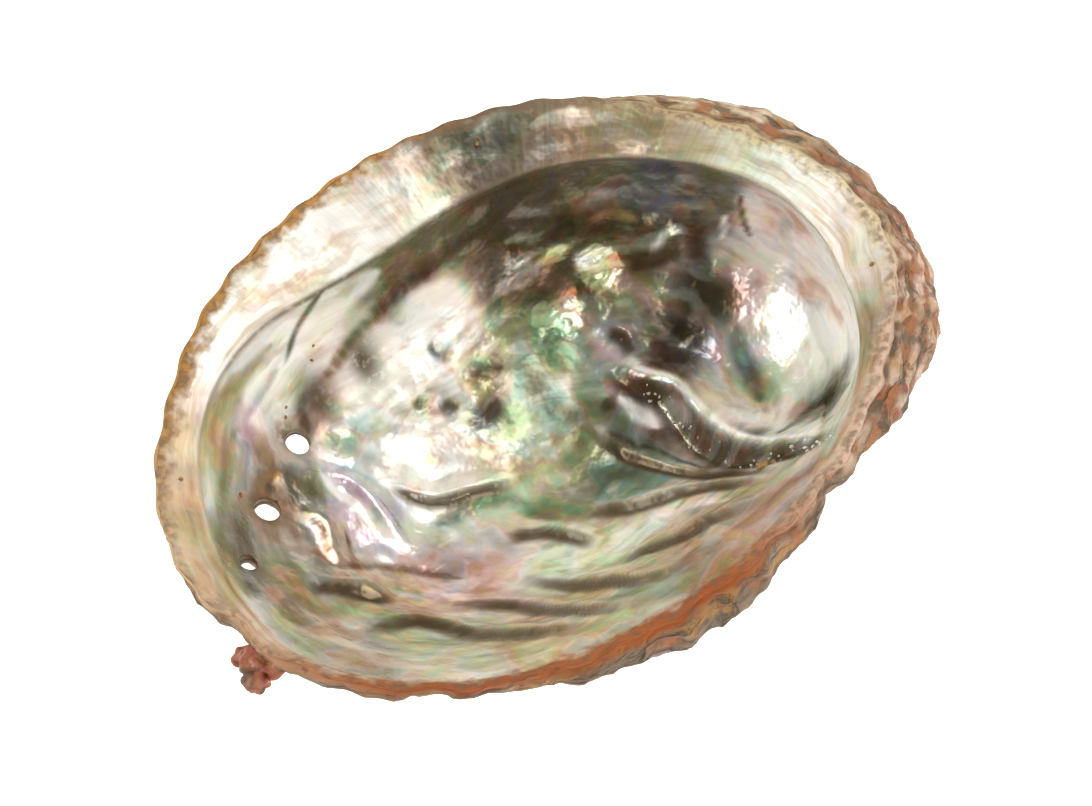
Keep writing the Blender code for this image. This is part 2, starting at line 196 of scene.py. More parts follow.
# Ridges and creases of the floor: plan path, half width, and height, below zero for a crease
FOLDS = (
    (((-38.5, 19.0), (-34.5, 16.0), (-33.8, 8.0), (-33.0, 0.5)), 2.2, 1.9),
    (((-48.0, 13.0), (-45.2, 9.0), (-47.0, 3.0), (-45.4, 0.5)), 2.0, 1.5),
    (((-27.0, 14.0), (-22.3, 8.3), (-14.0, 5.7), (-6.0, 3.5)), 1.9, 1.4),
    (((-15.5, -6.5), (-7.5, -11.3), (-3.3, -20.2)), 2.0, 1.5),
    (((14.0, 1.0), (16.3, -8.2), (19.8, -18.6), (22.5, -27.8), (25.0, -37.0)), 1.8, 1.3),
    (((1.3, -12.0), (8.8, -18.8), (17.5, -25.8), (21.5, -37.0)), 2.0, 1.5),
    (((-5.5, -28.4), (1.2, -34.0), (10.5, -39.3), (18.6, -44.4)), 2.0, 1.4),
    (((-19.0, -17.7), (-13.3, -30.2), (-8.9, -41.0), (0.0, -45.5)), 2.2, 1.3),
    (((-34.8, -15.6), (-25.0, -24.0), (-21.0, -39.0), (-13.0, -47.0), (2.0, -50.0)), 2.2, 1.3),
    (((-57.0, -2.0), (-48.5, -4.7), (-43.0, -10.0)), 2.2, 1.3),
    (((-55.0, -15.6), (-43.0, -17.0), (-35.6, -29.6), (-28.0, -39.0), (-20.0, -47.0)), 2.4, 1.4),
    (((29.5, 18.0), (31.5, 14.0), (30.0, 9.0)), 2.0, 1.5),
    (((40.0, 25.5), (45.0, 22.0), (49.0, 20.5)), 2.4, 1.3),
)
FOLD_START = 0.06
FOLD_SPAN = 0.88
BLISTERS = (
    (-7.2, 26.6, 3.4, 1.4),
    (-2.6, 18.9, 3.6, -1.2),
    (-15.0, 26.0, 3.2, 1.2),
    (-28.6, 23.5, 3.2, 1.1),
    (19.5, 7.0, 3.8, 1.2),
    (12.8, -6.6, 4.0, -1.0),
    (26.4, 26.2, 3.8, -1.2),
    (38.8, 24.5, 3.6, -1.2),
    (52.0, 10.0, 3.6, -1.4),
)

# Side of the folds toward the camera, steeper and painted with brown shade, and that shade's shape
SHADED_SIDE = np.array((-0.6, -0.8))
GENTLE_SIDE = 1.35
STEEP_SIDE = 0.62
SIDE_TURN = 0.7
SHADE_OUT = 0.8
SHADE_WIDTH = 0.72
SHADE_FULLNESS = 1.4
BLISTER_SHADE = 0.7
BLISTER_SHADE_OUT = 0.9
BLISTER_SHADE_WIDTH = 0.5
BLISTER_SHADE_REACH = 1.5

# Crust lump on the lip beside the youngest notch: place and radius of each knob
LUMPS = (
    (-76.2, -16.4, 41.2, 2.9),
    (-77.6, -18.8, 39.6, 2.5),
    (-76.4, -14.0, 39.4, 2.3),
    (-74.2, -19.0, 40.6, 2.5),
)
NOTCH_ANGLE = 187.0
NOTCH_SPREAD = 3.0
NOTCH_DEPTH = 1.8

# Shares of the way over which the relief grows in from the rim
RELIEF_FADE = 0.22
BACK_FADE = 0.3
SHELF_RINGS = 5.0 / 27.0
EDGE_LINE = 0.008
SHELF_BORDER = 0.016
CRUST_BORDER = 0.012
LIP_SHARE = 3.0 / 27.0
SPIRE_LIP_SHARE = 7.0 / 27.0

# Radius and length of the round coordinates that the fine lines follow, and how far from the
# middle of the floor they keep that radius
RING_SIZE = 65.0
WALL_LENGTH = 55.0
ROUND_REACH = 34.0

# Fineness of the visible mesh
SEGMENTS = 380
INNER_RINGS = 145
SHELF_COUNT = 24
OUTER_RINGS = 104
RING_CROWDING = 1.12

# Steps of the noise's place from one seed to the next
NOISE_SHIFT = (17.3, 5.1, 9.7)

# Height from which the first surface is looked for
LOOK_HEIGHT = 80.0

# Colours
PALETTE = {
    "white": (0.95, 0.93, 0.91),
    "pearl": (0.72, 0.67, 0.60),
    "lilac": (0.58, 0.50, 0.62),
    "rose": (0.66, 0.47, 0.45),
    "mint": (0.17, 0.24, 0.145),
    "pale_mint": (0.50, 0.54, 0.37),
    "teal": (0.28, 0.48, 0.44),
    "cream": (0.60, 0.49, 0.32),
    "sand": (0.42, 0.30, 0.17),
    "grey": (0.19, 0.17, 0.14),
    "taupe": (0.22, 0.16, 0.10),
    "olive": (0.27, 0.24, 0.12),
    "umber": (0.085, 0.055, 0.028),
    "violet": (0.14, 0.13, 0.20),
    "ochre": (0.38, 0.19, 0.05),
    "rust": (0.30, 0.11, 0.04),
    "brick": (0.28, 0.06, 0.04),
    "blush": (0.56, 0.38, 0.29),
    "bark": (0.13, 0.08, 0.045),
    "moss": (0.12, 0.14, 0.10),
    "petal": (0.86, 0.75, 0.74),
    "khaki": (0.36, 0.30, 0.21),
    "tan": (0.50, 0.34, 0.21),
    "frost": (0.72, 0.78, 0.64),
    "orange": (0.33, 0.09, 0.018),
    "slate": (0.14, 0.125, 0.10),
    "jade": (0.22, 0.58, 0.36),
    "pink": (0.70, 0.42, 0.48),
    "sky": (0.34, 0.56, 0.76),
    "gold": (0.74, 0.56, 0.26),
}
DARKEST = 0.01

# Tints of the shelf, every 15 degrees
# White from 105 to 135 degrees is painted highlight, and slate and taupe from 45 to 75 degrees
# painted dark reflection
SHELF_TINTS = ("white", "frost", "khaki", "taupe", "slate", "slate", "pearl", "white", "white",
               "white", "petal", "sand", "sand", "sand", "tan", "khaki", "tan", "khaki",
               "khaki", "khaki", "blush", "tan", "khaki", "pearl")

# Growth bands of the shelf from the rim to its inner edge, and where they show
BAND_TINTS = ("tan", "sand", "blush", "sand", "tan", "cream", "rust", "cream")
BAND_ANGLE = 200.0
BAND_SPREAD = 42.0
BAND_STRENGTH = 0.75

# How strong the brown line along the shelf's inner edge is, every 30 degrees
EDGE_LINES = (0.5, 0.7, 0.9, 0.8, 0.9, 0.5, 0.0, 0.0, 0.0, 0.0, 0.0, 0.3)

# How polished the shelf is, every 30 degrees
SHELF_POLISH = (0.6, 0.8, 0.8, 1.0, 1.0, 0.5, 0.2, 0.2, 0.3, 0.3, 0.3, 0.5)

# Where the shelf is striped across
STRIPED_ANGLE = 60.0
STRIPED_SPREAD = 50.0

# Satin places of the floor: plan place and radius
SATIN = ((12.0, 13.0, 13.0), (-4.0, -4.0, 13.0), (8.0, -20.0, 14.0))
SATIN_DEPTH = 0.65

# Tints of the lip's edge, and how far they reach inwards, every 30 degrees
LIP_TINTS = ("cream", "sand", "bark", "ochre", "ochre", "ochre", "tan", "orange", "orange",
             "orange", "blush", "blush")
LIP_REACH = (0.3, 0.3, 0.6, 0.8, 1.2, 1.5, 0.5, 1.2, 1.9, 1.7, 0.6, 0.3)

# Depth of the brown painted shade on the folds, and how many of the first folds have none
FOLD_SHADE_DEPTH = 0.97
PLAIN_FOLDS = 2

# Tints of the crust under the rim, every 30 degrees
# The dark bark and taupe at the front are partly painted shade under the rim
CRUST_TINTS = ("blush", "cream", "sand", "sand", "taupe", "taupe", "taupe", "taupe", "bark",
               "bark", "taupe", "blush")

# Soft patches of the bowl: places and radii of each tint
# The white patches are painted highlights and the umber ones painted dark reflections
PATCHES = {
    "white": ((-26.4, 37.3, 34.7, 6.0), (-39.9, 33.1, 32.0, 4.0), (55.1, -17.5, 21.1, 11.0),
              (-0.5, 32.4, 20.4, 6.0), (-12.5, 32.2, 21.3, 6.0), (-22.3, 28.8, 17.3, 7.0),
              (-17.2, 17.1, 9.0, 8.0)),
    "tan": ((-52.1, 27.6, 36.9, 4.0), (-60.3, -6.6, 31.3, 5.0), (-0.4, -49.8, 40.5, 7.0)),
    "lilac": ((-49.6, 26.9, 33.6, 3.0), (44.5, -2.8, 10.2, 5.0), (26.3, 13.4, 7.9, 5.0),
              (-34.4, 9.2, 14.8, 5.0)),
    "taupe": ((-10.4, 37.3, 33.6, 5.0), (4.5, 38.3, 34.2, 6.0), (34.8, 33.9, 31.3, 8.0),
              (53.6, 20.1, 27.2, 6.0), (-30.7, 29.8, 20.5, 4.0), (-48.7, 15.9, 24.3, 6.0),
              (-64.4, 3.8, 35.6, 5.0), (24.2, -24.9, 17.7, 4.0)),
    "umber": ((20.7, 37.7, 32.4, 9.0), (19.3, 32.9, 19.2, 7.0), (32.4, 30.7, 20.5, 7.0),
              (46.5, 8.9, 12.2, 6.0), (36.2, 3.9, 9.9, 5.0), (47.0, -27.0, 22.0, 5.0)),
    "violet": ((46.8, 27.2, 28.5, 6.0),),
    "khaki": ((38.1, 18.8, 11.9, 7.0), (-51.7, 6.2, 24.2, 6.0), (-60.3, -21.9, 35.1, 7.0)),
    "olive": ((35.4, 24.9, 14.2, 4.0),),
    "petal": ((57.5, 2.9, 19.4, 8.0), (57.7, -2.9, 19.0, 7.0), (59.5, 6.0, 27.0, 6.0)),
    "pale_mint": ((43.0, -10.0, 11.0, 6.0), (2.0, 10.7, 5.6, 8.0), (-45.0, -30.2, 29.7, 7.0),
                  (-15.6, -46.5, 38.3, 7.0)),
    "teal": ((-25.9, 22.4, 14.5, 5.0),),
    "pearl": ((-9.4, 11.6, 6.5, 6.0),),
    "mint": ((14.1, 19.9, 7.9, 8.0), (8.6, -5.8, 5.4, 8.0)),
    "frost": ((-17.0, 1.6, 7.0, 7.0), (-9.2, -22.1, 12.1, 8.0)),
    "grey": ((23.0, -3.2, 5.9, 6.0),),
    "cream": ((-20.4, -30.2, 20.6, 7.0), (-30.9, -43.5, 36.7, 7.0), (6.4, -36.8, 29.9, 8.0)),
    "rose": ((-22.9, -9.3, 9.2, 7.0),),
    "sand": ((-45.7, -9.7, 19.7, 5.0),),
    "blush": ((11.1, -49.7, 42.1, 7.0),),
}
PATCH_WANDER = 3.0
PATCH_GRAIN = 7.0
PATCH_SEEDS = (21, 22, 23)
PATCH_FLOOR = 0.02

# Painted marks of the bowl: tint, half width and path
# The white marks are mostly painted highlights, and the umber ones mostly painted shade and dark
# reflections
STROKES = (
    ("bark", 2.2, ((-36, 28.5, 22), (-24, 33.5, 25), (-14, 35.5, 29), (-1.5, 37, 31),
                   (13.5, 38, 30.5), (27, 36, 30.5), (38, 32, 29.5))),
    ("white", 3.2, ((-31, 35, 30), (-24.5, 37.5, 34.5), (-17.5, 38, 37), (-10.5, 38.5, 38))),
    # A painted shadow beside the white painted highlight above it
    ("umber", 1.0, ((-22, 39.5, 41), (-28, 38, 37), (-34, 35.5, 32))),
    ("cream", 2.2, ((-58.5, 21, 38.5), (-51.5, 29, 38), (-44.5, 34, 37), (-35.5, 37.5, 37.5))),
    ("cream", 1.0, ((-70.5, 3.5, 42.5), (-67.5, 11.5, 42.5), (-61, 20.5, 41), (-55.5, 27.5, 40.5),
                    (-49.5, 32, 39.5))),
    ("khaki", 2.0, ((-70, -6, 41), (-66.5, 4, 39.5), (-63.5, 11.5, 38.5), (-56.5, 21, 36),
                    (-52, 27.5, 36.5))),
    ("lilac", 1.2, ((-52.5, 23.5, 33.5), (-45.5, 30, 32.5), (-39, 33.5, 32), (-35.5, 35, 32.5))),
    ("taupe", 0.8, ((-52, 26, 35.5), (-48, 28.5, 33.5))),
    ("white", 3.0, ((-21, 29, 17), (-12, 31.5, 20), (-3, 32.5, 21), (8, 31.5, 16.5))),
    ("white", 2.2, ((-31.5, 21, 16), (-22, 21.5, 12), (-21.5, 18, 10.5))),
    ("moss", 2.2, ((-5, 30, 18), (-1, 28, 15))),
    ("umber", 2.3, ((-1, 25, 11.5), (1.5, 23, 10), (6, 22.5, 9.5))),
    ("umber", 2.1, ((-13, 24.5, 13), (-10, 22, 10.5), (-6, 21, 9))),
    ("umber", 3.0, ((4.5, 20, 8), (1, 17, 7), (-5.5, 17, 7))),
    ("white", 1.2, ((-11, 26, 14.5), (-9, 25, 13.5))),
    ("white", 1.0, ((-6, 23.5, 11.5), (-3.5, 23, 10))),
    ("mint", 3.0, ((12.5, 24, 10), (9.5, 16, 6.5), (11.5, 4, 5), (8.5, -6, 5.5))),
    ("mint", 1.0, ((16.5, 27, 12), (16, 22, 9))),
    ("umber", 4.0, ((19, 35.5, 23.5), (31.5, 32.5, 24), (43.5, 26, 21.5), (52, 17.5, 21))),
    ("umber", 2.6, ((52, 19.5, 24), (49, 13.5, 15), (42.5, 7.5, 10.5), (35.5, 6, 9.5))),
    ("umber", 2.6, ((15, 32, 17.5), (25, 30.5, 17), (32.5, 27.5, 16.5))),
    ("umber", 1.9, ((35.5, 15, 10), (39, 10.5, 10), (39.5, 4.5, 9.5))),
    ("sand", 1.4, ((35, 31.5, 23.5), (39.5, 30, 24.5), (44, 26.5, 22.5))),
    ("olive", 1.1, ((21.5, 32.5, 19), (27, 32, 20), (31, 30.5, 20))),
    ("sand", 2.2, ((31, 23, 11.5), (37, 22, 12.5), (42, 19, 13.5))),
    ("pale_mint", 1.0, ((33, 20, 10.5), (36, 18.5, 10.5))),
    ("rust", 0.8, ((36, 26.5, 16), (39, 25, 16), (41, 23, 16))),
    ("rust", 1.0, ((24.5, 27, 12.5), (28.5, 26, 12.5), (30.5, 23.5, 12))),
    ("violet", 1.0, ((36.5, 33, 31.5), (45, 28, 27), (53.5, 20, 27.5))),
    ("white", 1.1, ((47.5, 22, 21.5), (44, 21.5, 18.5), (42.5, 21.5, 17))),
    ("white", 1.1, ((29, 17.5, 9.5), (28, 13, 8.5), (28.5, 7, 9))),
    ("umber", 1.8, ((18.5, 6, 6.5), (19, 3.5, 6))),
    ("white", 2.0, ((21.5, 4, 6), (22.5, -1, 6), (23.5, -5.5, 6.5))),
    ("rose", 1.3, ((19, 20, 8.5), (23, 19, 8.5), (27.5, 17.5, 9))),
    ("umber", 1.0, ((14.5, 2, 5.5), (17, -4.5, 6), (19.5, -12, 7.5), (21, -20.5, 12.5))),
    ("violet", 1.0, ((-16, 16.5, 8.5), (-16, 14, 8))),
    ("white", 0.35, ((17, 13, 6.5), (8, 10, 5.7), (-2, 6.5, 5.6))),
    ("white", 0.3, ((18.5, 8.5, 6), (9.5, 5.5, 5.4), (-0.5, 2, 5.4))),
    ("white", 1.5, ((-38.5, 19, 19), (-36.5, 11.5, 16), (-34.5, 3.5, 14), (-33.5, 0.5, 13))),
    ("taupe", 0.5, ((-35, 20.5, 17), (-32, 11.5, 14.5), (-31, 1.5, 12), (-34, -1.5, 12))),
    ("rose", 1.1, ((-47, 12, 22), (-47.5, 5, 21.5), (-47.5, 1.5, 21))),
    ("umber", 0.8, ((-42, 17.5, 20), (-41.5, 9, 17), (-43.5, 0.5, 17.5))),
    ("umber", 2.0, ((-29, 31.5, 22), (-33, 30.5, 24), (-35.5, 27.5, 20.5))),
    ("umber", 1.6, ((-52, 18.5, 27.5), (-49, 18, 25.5), (-48, 14.5, 23))),
    ("ochre", 1.2, ((-45, 21, 24.5), (-51, 19, 27.5), (-50, 14, 24.5))),
    ("taupe", 1.3, ((-49, 1, 21.5), (-37, -3.5, 13.5), (-29, -11, 11.5))),
    ("lilac", 1.2, ((-42.5, -8, 17.5), (-36.5, -12.5, 14.5), (-29.5, -15, 12.5))),
    ("cream", 1.6, ((-69, -7.5, 40), (-61.5, -18, 34.5), (-50.5, -29, 32))),
    ("pale_mint", 1.9, ((-54.5, -7.5, 26), (-46.5, -17, 22.5), (-36, -27, 24))),
    ("umber", 0.8, ((58.5, 14, 31), (58, 12.5, 26.5), (58, 9.5, 22.5))),
    ("white", 0.8, ((56, 16, 25), (54.5, 13.5, 20.5))),
    ("white", 5.0, ((50.5, -7.5, 13.5), (55.5, -14, 20), (54, -23, 25))),
    ("petal", 3.0, ((58.5, 6, 22), (58, -2.5, 19.5), (56.5, -7.5, 18.5))),
    ("grey", 2.4, ((47, 0.5, 11), (43.5, -8, 10.5), (40, -15, 12))),
    ("umber", 1.9, ((32.5, -29, 24.5), (43.5, -26.5, 20), (46, -32, 31))),
    ("teal", 1.1, ((45.5, -2.5, 10.5), (44, -6.5, 10))),
    ("rose", 2.2, ((-24.5, -8, 9.5), (-24, -25.5, 18), (-22.5, -38.5, 31))),
    ("petal", 1.5, ((5, -22.5, 12.5), (11.5, -28.5, 18.5), (14, -36.5, 28.5))),
    ("mint", 2.6, ((-23.5, 2.5, 8.5), (-11, 0.5, 6), (-5, -11, 7.5))),
    ("pale_mint", 1.9, ((-17, -26, 16.5), (-8.5, -33, 22.5), (2, -37, 28))),
)
STROKE_SAMPLES = 30
STROKE_REACH = 2.5
STROKE_DEPTH = 0.9
STROKE_WANDER = 0.28
STROKE_GRAIN = 2.5
STROKE_SEED = 24
STROKE_TAPER = (0.04, 0.96)
STROKE_EDGE = 3

# Play of colour round the circle of hues
PLAY = ((0.0, "jade"), (0.17, "gold"), (0.34, "pink"), (0.5, "petal"), (0.67, "sky"),
        (0.84, "pale_mint"), (1.0, "jade"))
PLAY_TURNS = 1.35

# Lengths of the fine lines, streaks and flakes: twice along the rim and once across it
ACROSS_LINES = (0.7, 0.7, 14.0)
ALONG_LINES = (24.0, 24.0, 1.5)
STREAKS = (13.0, 13.0, 3.4)
FLAKES = (6.0, 6.0, 2.4)
CRUST_LAYERS = (20.0, 20.0, 2.2)
LINE_WANDER_SIZE = 16.0
LINE_WANDER = 5.0

# Grains of sand: plan place and radius
SAND_GRAINS = (
    (24.1, -33.6, 1.5), (25.8, -34.6, 0.8), (-28.2, 35.0, 0.5), (-26.9, 36.0, 0.4),
    (-38.0, 30.0, 0.5), (-37.0, 31.2, 0.4), (-56.5, 17.0, 0.6), (63.0, -18.0, 0.6),
    (20.5, 47.5, 0.6), (21.4, 48.3, 0.45), (-66.0, 20.0, 0.5), (52.0, -40.0, 0.6),
)

# Crystals on the curl's wall, how much of it they cover, and how far across it they lie
CRYSTAL_COUNT = 46
CRYSTAL_SIZES = (0.2, 0.55)
CRYSTAL_STRETCH = (0.25, 0.92)
CRYSTAL_ACROSS = (0.35, 1.1, 0.8)
CRYSTAL_SEED = 5

# Shape of a grain, how its size varies, and how far it stands out
GRAIN_SHAPE = (1.0, 0.8, 0.65)
GRAIN_VARIETY = (0.85, 1.15)
GRAIN_RISE = 0.3

# Relief of the red growth
LUMP_SHRINK = 0.92
LUMP_KNOBS = 0.5
LUMP_GRAIN = 1.6
LUMP_VOXEL = 0.22

# Camera and light
CAMERA_AZIMUTH = -38.0
CAMERA_ELEVATION = 57.0
CAMERA_DISTANCE = 560.0
CAMERA_TARGET = (0.0, 0.0, 30.0)
CAMERA_LENS = 100.0
CAMERA_SENSOR = 36.0

# Lights: name, place and size in metres, power and colour
LIGHTS = (
    ("right", (0.75, 0.0, 0.85), (0.75, 0.7), 8.5, (1.0, 0.98, 0.9)),
    ("left", (-0.75, 0.75, 0.6), (1.0, 0.5), 13.0, (1.0, 0.99, 0.92)),
    ("spark", (0.1, -0.6, 0.85), (0.14, 0.14), 2.5, (1.0, 1.0, 1.0)),
    ("front", (0.1, -1.1, 0.62), (1.1, 0.4), 6.0, (1.0, 0.98, 0.9)),
)
PAPER_SIZE = 6.0
PAPER_COLOUR = (0.86, 0.86, 0.86, 1.0)
PAPER_GLOW = 0.85
WORLD_COLOUR = (0.95, 0.91, 0.8, 1.0)
WORLD_STRENGTH = 0.2


def placed(x, y, z):
    # A design point in metres, with the origin under the middle of the shell
    return Vector((x - BOX_CENTRE[0], y - BOX_CENTRE[1], z)) * MM


def all_placed(points):
    return (points - np.array((*BOX_CENTRE, 0.0))) * MM


def bent(p0, p1, p2, p3, f):
    # Smooth curve between the second and third of four values
    bend = 2 * p0 - 5 * p1 + 4 * p2 - p3 + (3 * p1 - p0 - 3 * p2 + p3) * f
    return p1 + 0.5 * f * (p2 - p0 + f * bend)


def round_curve(values, angle):
    # Smooth closed curve through evenly spaced values, which may be colours
    table = np.array(values, dtype=float)
    count = len(table)
    place = (angle % tau) / tau * count
    first = np.floor(place).astype(int)
    f = place - first
    if table.ndim > 1:
        f = f[:, None]
    return bent(*(table[(first + step) % count] for step in (-1, 0, 1, 2)), f)


def bell(angle, centre, spread):
    away = (np.degrees(angle) - centre + 180.0) % 360.0 - 180.0
    return np.exp(-(away / spread) ** 2)


def blend(low, high, share):
    return low + (high - low) * share


def smooth(value):
    value = np.clip(value, 0.0, 1.0)
    return value * value * (3.0 - 2.0 * value)


def noise_at(points, size, seed):
    # Smooth noise between about -1 and 1 at plan or space points
    shift = Vector([seed * step for step in NOISE_SHIFT])
    return np.array([noise.noise(Vector(p) / size + shift) for p in points])


def layers_at(points, layers):
    return sum(height * noise_at(points, size, seed) for height, size, seed in layers)


def plan(angle, radius):
    return np.stack((radius * np.cos(angle), radius * np.sin(angle)), axis=-1)


def rim_radius(angle):
    wave = WAVE_DEPTH * np.sin(WAVE_COUNT * angle) * bell(angle, WAVE_ANGLE, WAVE_SPREAD)
    ripple = RIPPLE_DEPTH * np.sin(RIPPLE_COUNT * angle + RIPPLE_START)
    notch = NOTCH_DEPTH * bell(angle, NOTCH_ANGLE, NOTCH_SPREAD)
    return round_curve(RIM_RADIUS, angle) + (wave + ripple) - notch


def rim_height(angle):
    wave = RIM_WAVE_HEIGHT * np.sin(RIM_WAVE_COUNT * angle)
    return RIM_HEIGHT - RIM_DIP * bell(angle, RIM_DIP_ANGLE, RIM_DIP_SPREAD) + wave


def path_points(path, count=PATH_SAMPLES):
    # Even samples of a smooth open curve through the path's points
    table = np.array([path[0]] + list(path) + [path[-1]], dtype=float)
    place = np.linspace(0.0, len(path) - 1.000001, count)
    first = place.astype(int)
    f = (place - first)[:, None]
    return bent(*(table[first + step] for step in range(4)), f)


def near_path(points, path):
    # Offset from the nearest point of a path, signed distance, above zero on its left, and
    # the share of the path passed
    line = path_points(path)
    gap = points[:, None, :] - line[None, :, :]
    nearest = np.argmin((gap ** 2).sum(axis=2), axis=1)
    heading = np.gradient(line, axis=0)[nearest]
    offset = gap[np.arange(len(points)), nearest]
    side = np.sign(heading[:, 0] * offset[:, 1] - heading[:, 1] * offset[:, 0])
    return offset, side * np.hypot(offset[:, 0], offset[:, 1]), nearest / (len(line) - 1.0)


def wall_curve(turn, start, end, lean, reach, level):
    # A wall that leaves its edge at a lean from upright and ends level in the middle.
    # Gives the share of the way out from the middle, the height, and the lean on the way.
    fall = start - end
    handle = blend(UPRIGHT_HANDLE, LEANING_HANDLE, np.clip(lean / LEAN_LIMIT, 0.0, 1.0)) * fall
    inward = handle * np.tan(np.radians(lean)) / reach
    rest = 1.0 - turn
    edge, second, third = rest ** 3, 3.0 * rest ** 2 * turn, 3.0 * rest * turn ** 2
    out = edge + second * (1.0 - inward) + third * level
    height = start * edge + (start - handle) * second + end * (third + turn ** 3)
    go_in = reach * (rest ** 2 * inward + 2.0 * rest * turn * (1.0 - inward - level)
                     + turn ** 2 * level)
    go_down = rest ** 2 * handle + 2.0 * rest * turn * (fall - handle)
    return out, height, np.arctan2(go_in, go_down)


def near_stroke(points, path, reach):
    # Which points lie near a path in space, their distance to it, and the share of it passed
    line = path_points(path, STROKE_SAMPLES)
    near = ((points > line.min(axis=0) - reach) & (points < line.max(axis=0) + reach)).all(axis=1)
    close = np.nonzero(near)[0]
    away = ((points[close][:, None, :] - line[None, :, :]) ** 2).sum(axis=2)
    nearest = np.argmin(away, axis=1)
    return close, np.sqrt(away[np.arange(len(close)), nearest]), nearest / (STROKE_SAMPLES - 1.0)


def curl(points):
    # The lip slopes gently into the pocket on its left and drops as a wall on its right.
    # Gives the height, and how much painted shade a point takes on the wall and painted highlight
    # on the lip.
    _, distance, share = near_path(points, CURL_PATH)
    height = np.interp(share, np.linspace(0.0, 1.0, len(CURL_HEIGHT)), CURL_HEIGHT)
    gentle = np.exp(-(distance / CURL_SLOPE) ** 2)
    wall = smooth(1.0 + distance / CURL_WALL)
    across = (distance + WALL_TINT_MIDDLE * CURL_WALL) / (WALL_TINT_SPREAD * CURL_WALL)
    on_wall = np.exp(-across ** 4)
    lip_highlight = np.exp(-((distance - 0.5 * LIP_GLINT) / LIP_GLINT) ** 2)
    strength = smooth(height / CURL_STRONG_HEIGHT)
    return height * np.where(distance >= 0.0, gentle, wall), on_wall * strength, lip_highlight * strength


def pocket(points):
    away = np.hypot(*(points - POCKET_CENTRE).T)
    return -POCKET_DEPTH * np.exp(-(away / POCKET_SIZE) ** 2)


def folds(points):
    # Relief of the folds and blisters, and the brown painted shade on their sides toward the
    # camera
    total = np.zeros(len(points))
    painted_shade = np.zeros(len(points))
    for number, (path, width, height) in enumerate(FOLDS):
        offset, distance, share = near_path(points, path)
        length = np.abs(distance)
        ends = np.sin(pi * np.clip(FOLD_START + FOLD_SPAN * share, 0.0, 1.0))
        steep_side = smooth(0.5 + SIDE_TURN * (offset @ SHADED_SIDE) / (length + 0.01))
        here = width * blend(GENTLE_SIDE, STEEP_SIDE, steep_side)
        total += height * ends * np.exp(-(length / here) ** 2)
        if number >= PLAIN_FOLDS:
            across = (length - SHADE_OUT * width) / (SHADE_WIDTH * width)
            painted_shade += smooth(SHADE_FULLNESS * ends) * steep_side * np.exp(-across ** 4)
    for x, y, size, height in BLISTERS:
        away = points - np.array((x, y))
        total += height * np.exp(-(away ** 2).sum(axis=1) / size ** 2)
        beside = (away @ SHADED_SIDE / size - BLISTER_SHADE_OUT) / BLISTER_SHADE_WIDTH
        spread = (away ** 2).sum(axis=1) / (BLISTER_SHADE_REACH * size) ** 2
        painted_shade += BLISTER_SHADE * np.exp(-beside ** 2 - spread)
    return total, np.clip(painted_shade, 0.0, 1.0)


def funnels(points):
    # Relief of the hollows round the breathing holes, and how much brown painted shade they take
    total = np.zeros(len(points))
    painted_shade = np.zeros(len(points))
    for x, y, radius, is_open in HOLES:
        away = np.hypot(points[:, 0] - x, points[:, 1] - y)
        depth = FUNNEL_DEPTH if is_open else CLOSED_FUNNEL * FUNNEL_DEPTH
        total -= depth * np.exp(-(away / FUNNEL_SIZE) ** 2)
        painted_shade += np.exp(-(away / (radius + FUNNEL_SHADE)) ** 2)
    return total, np.clip(painted_shade, 0.0, 1.0)


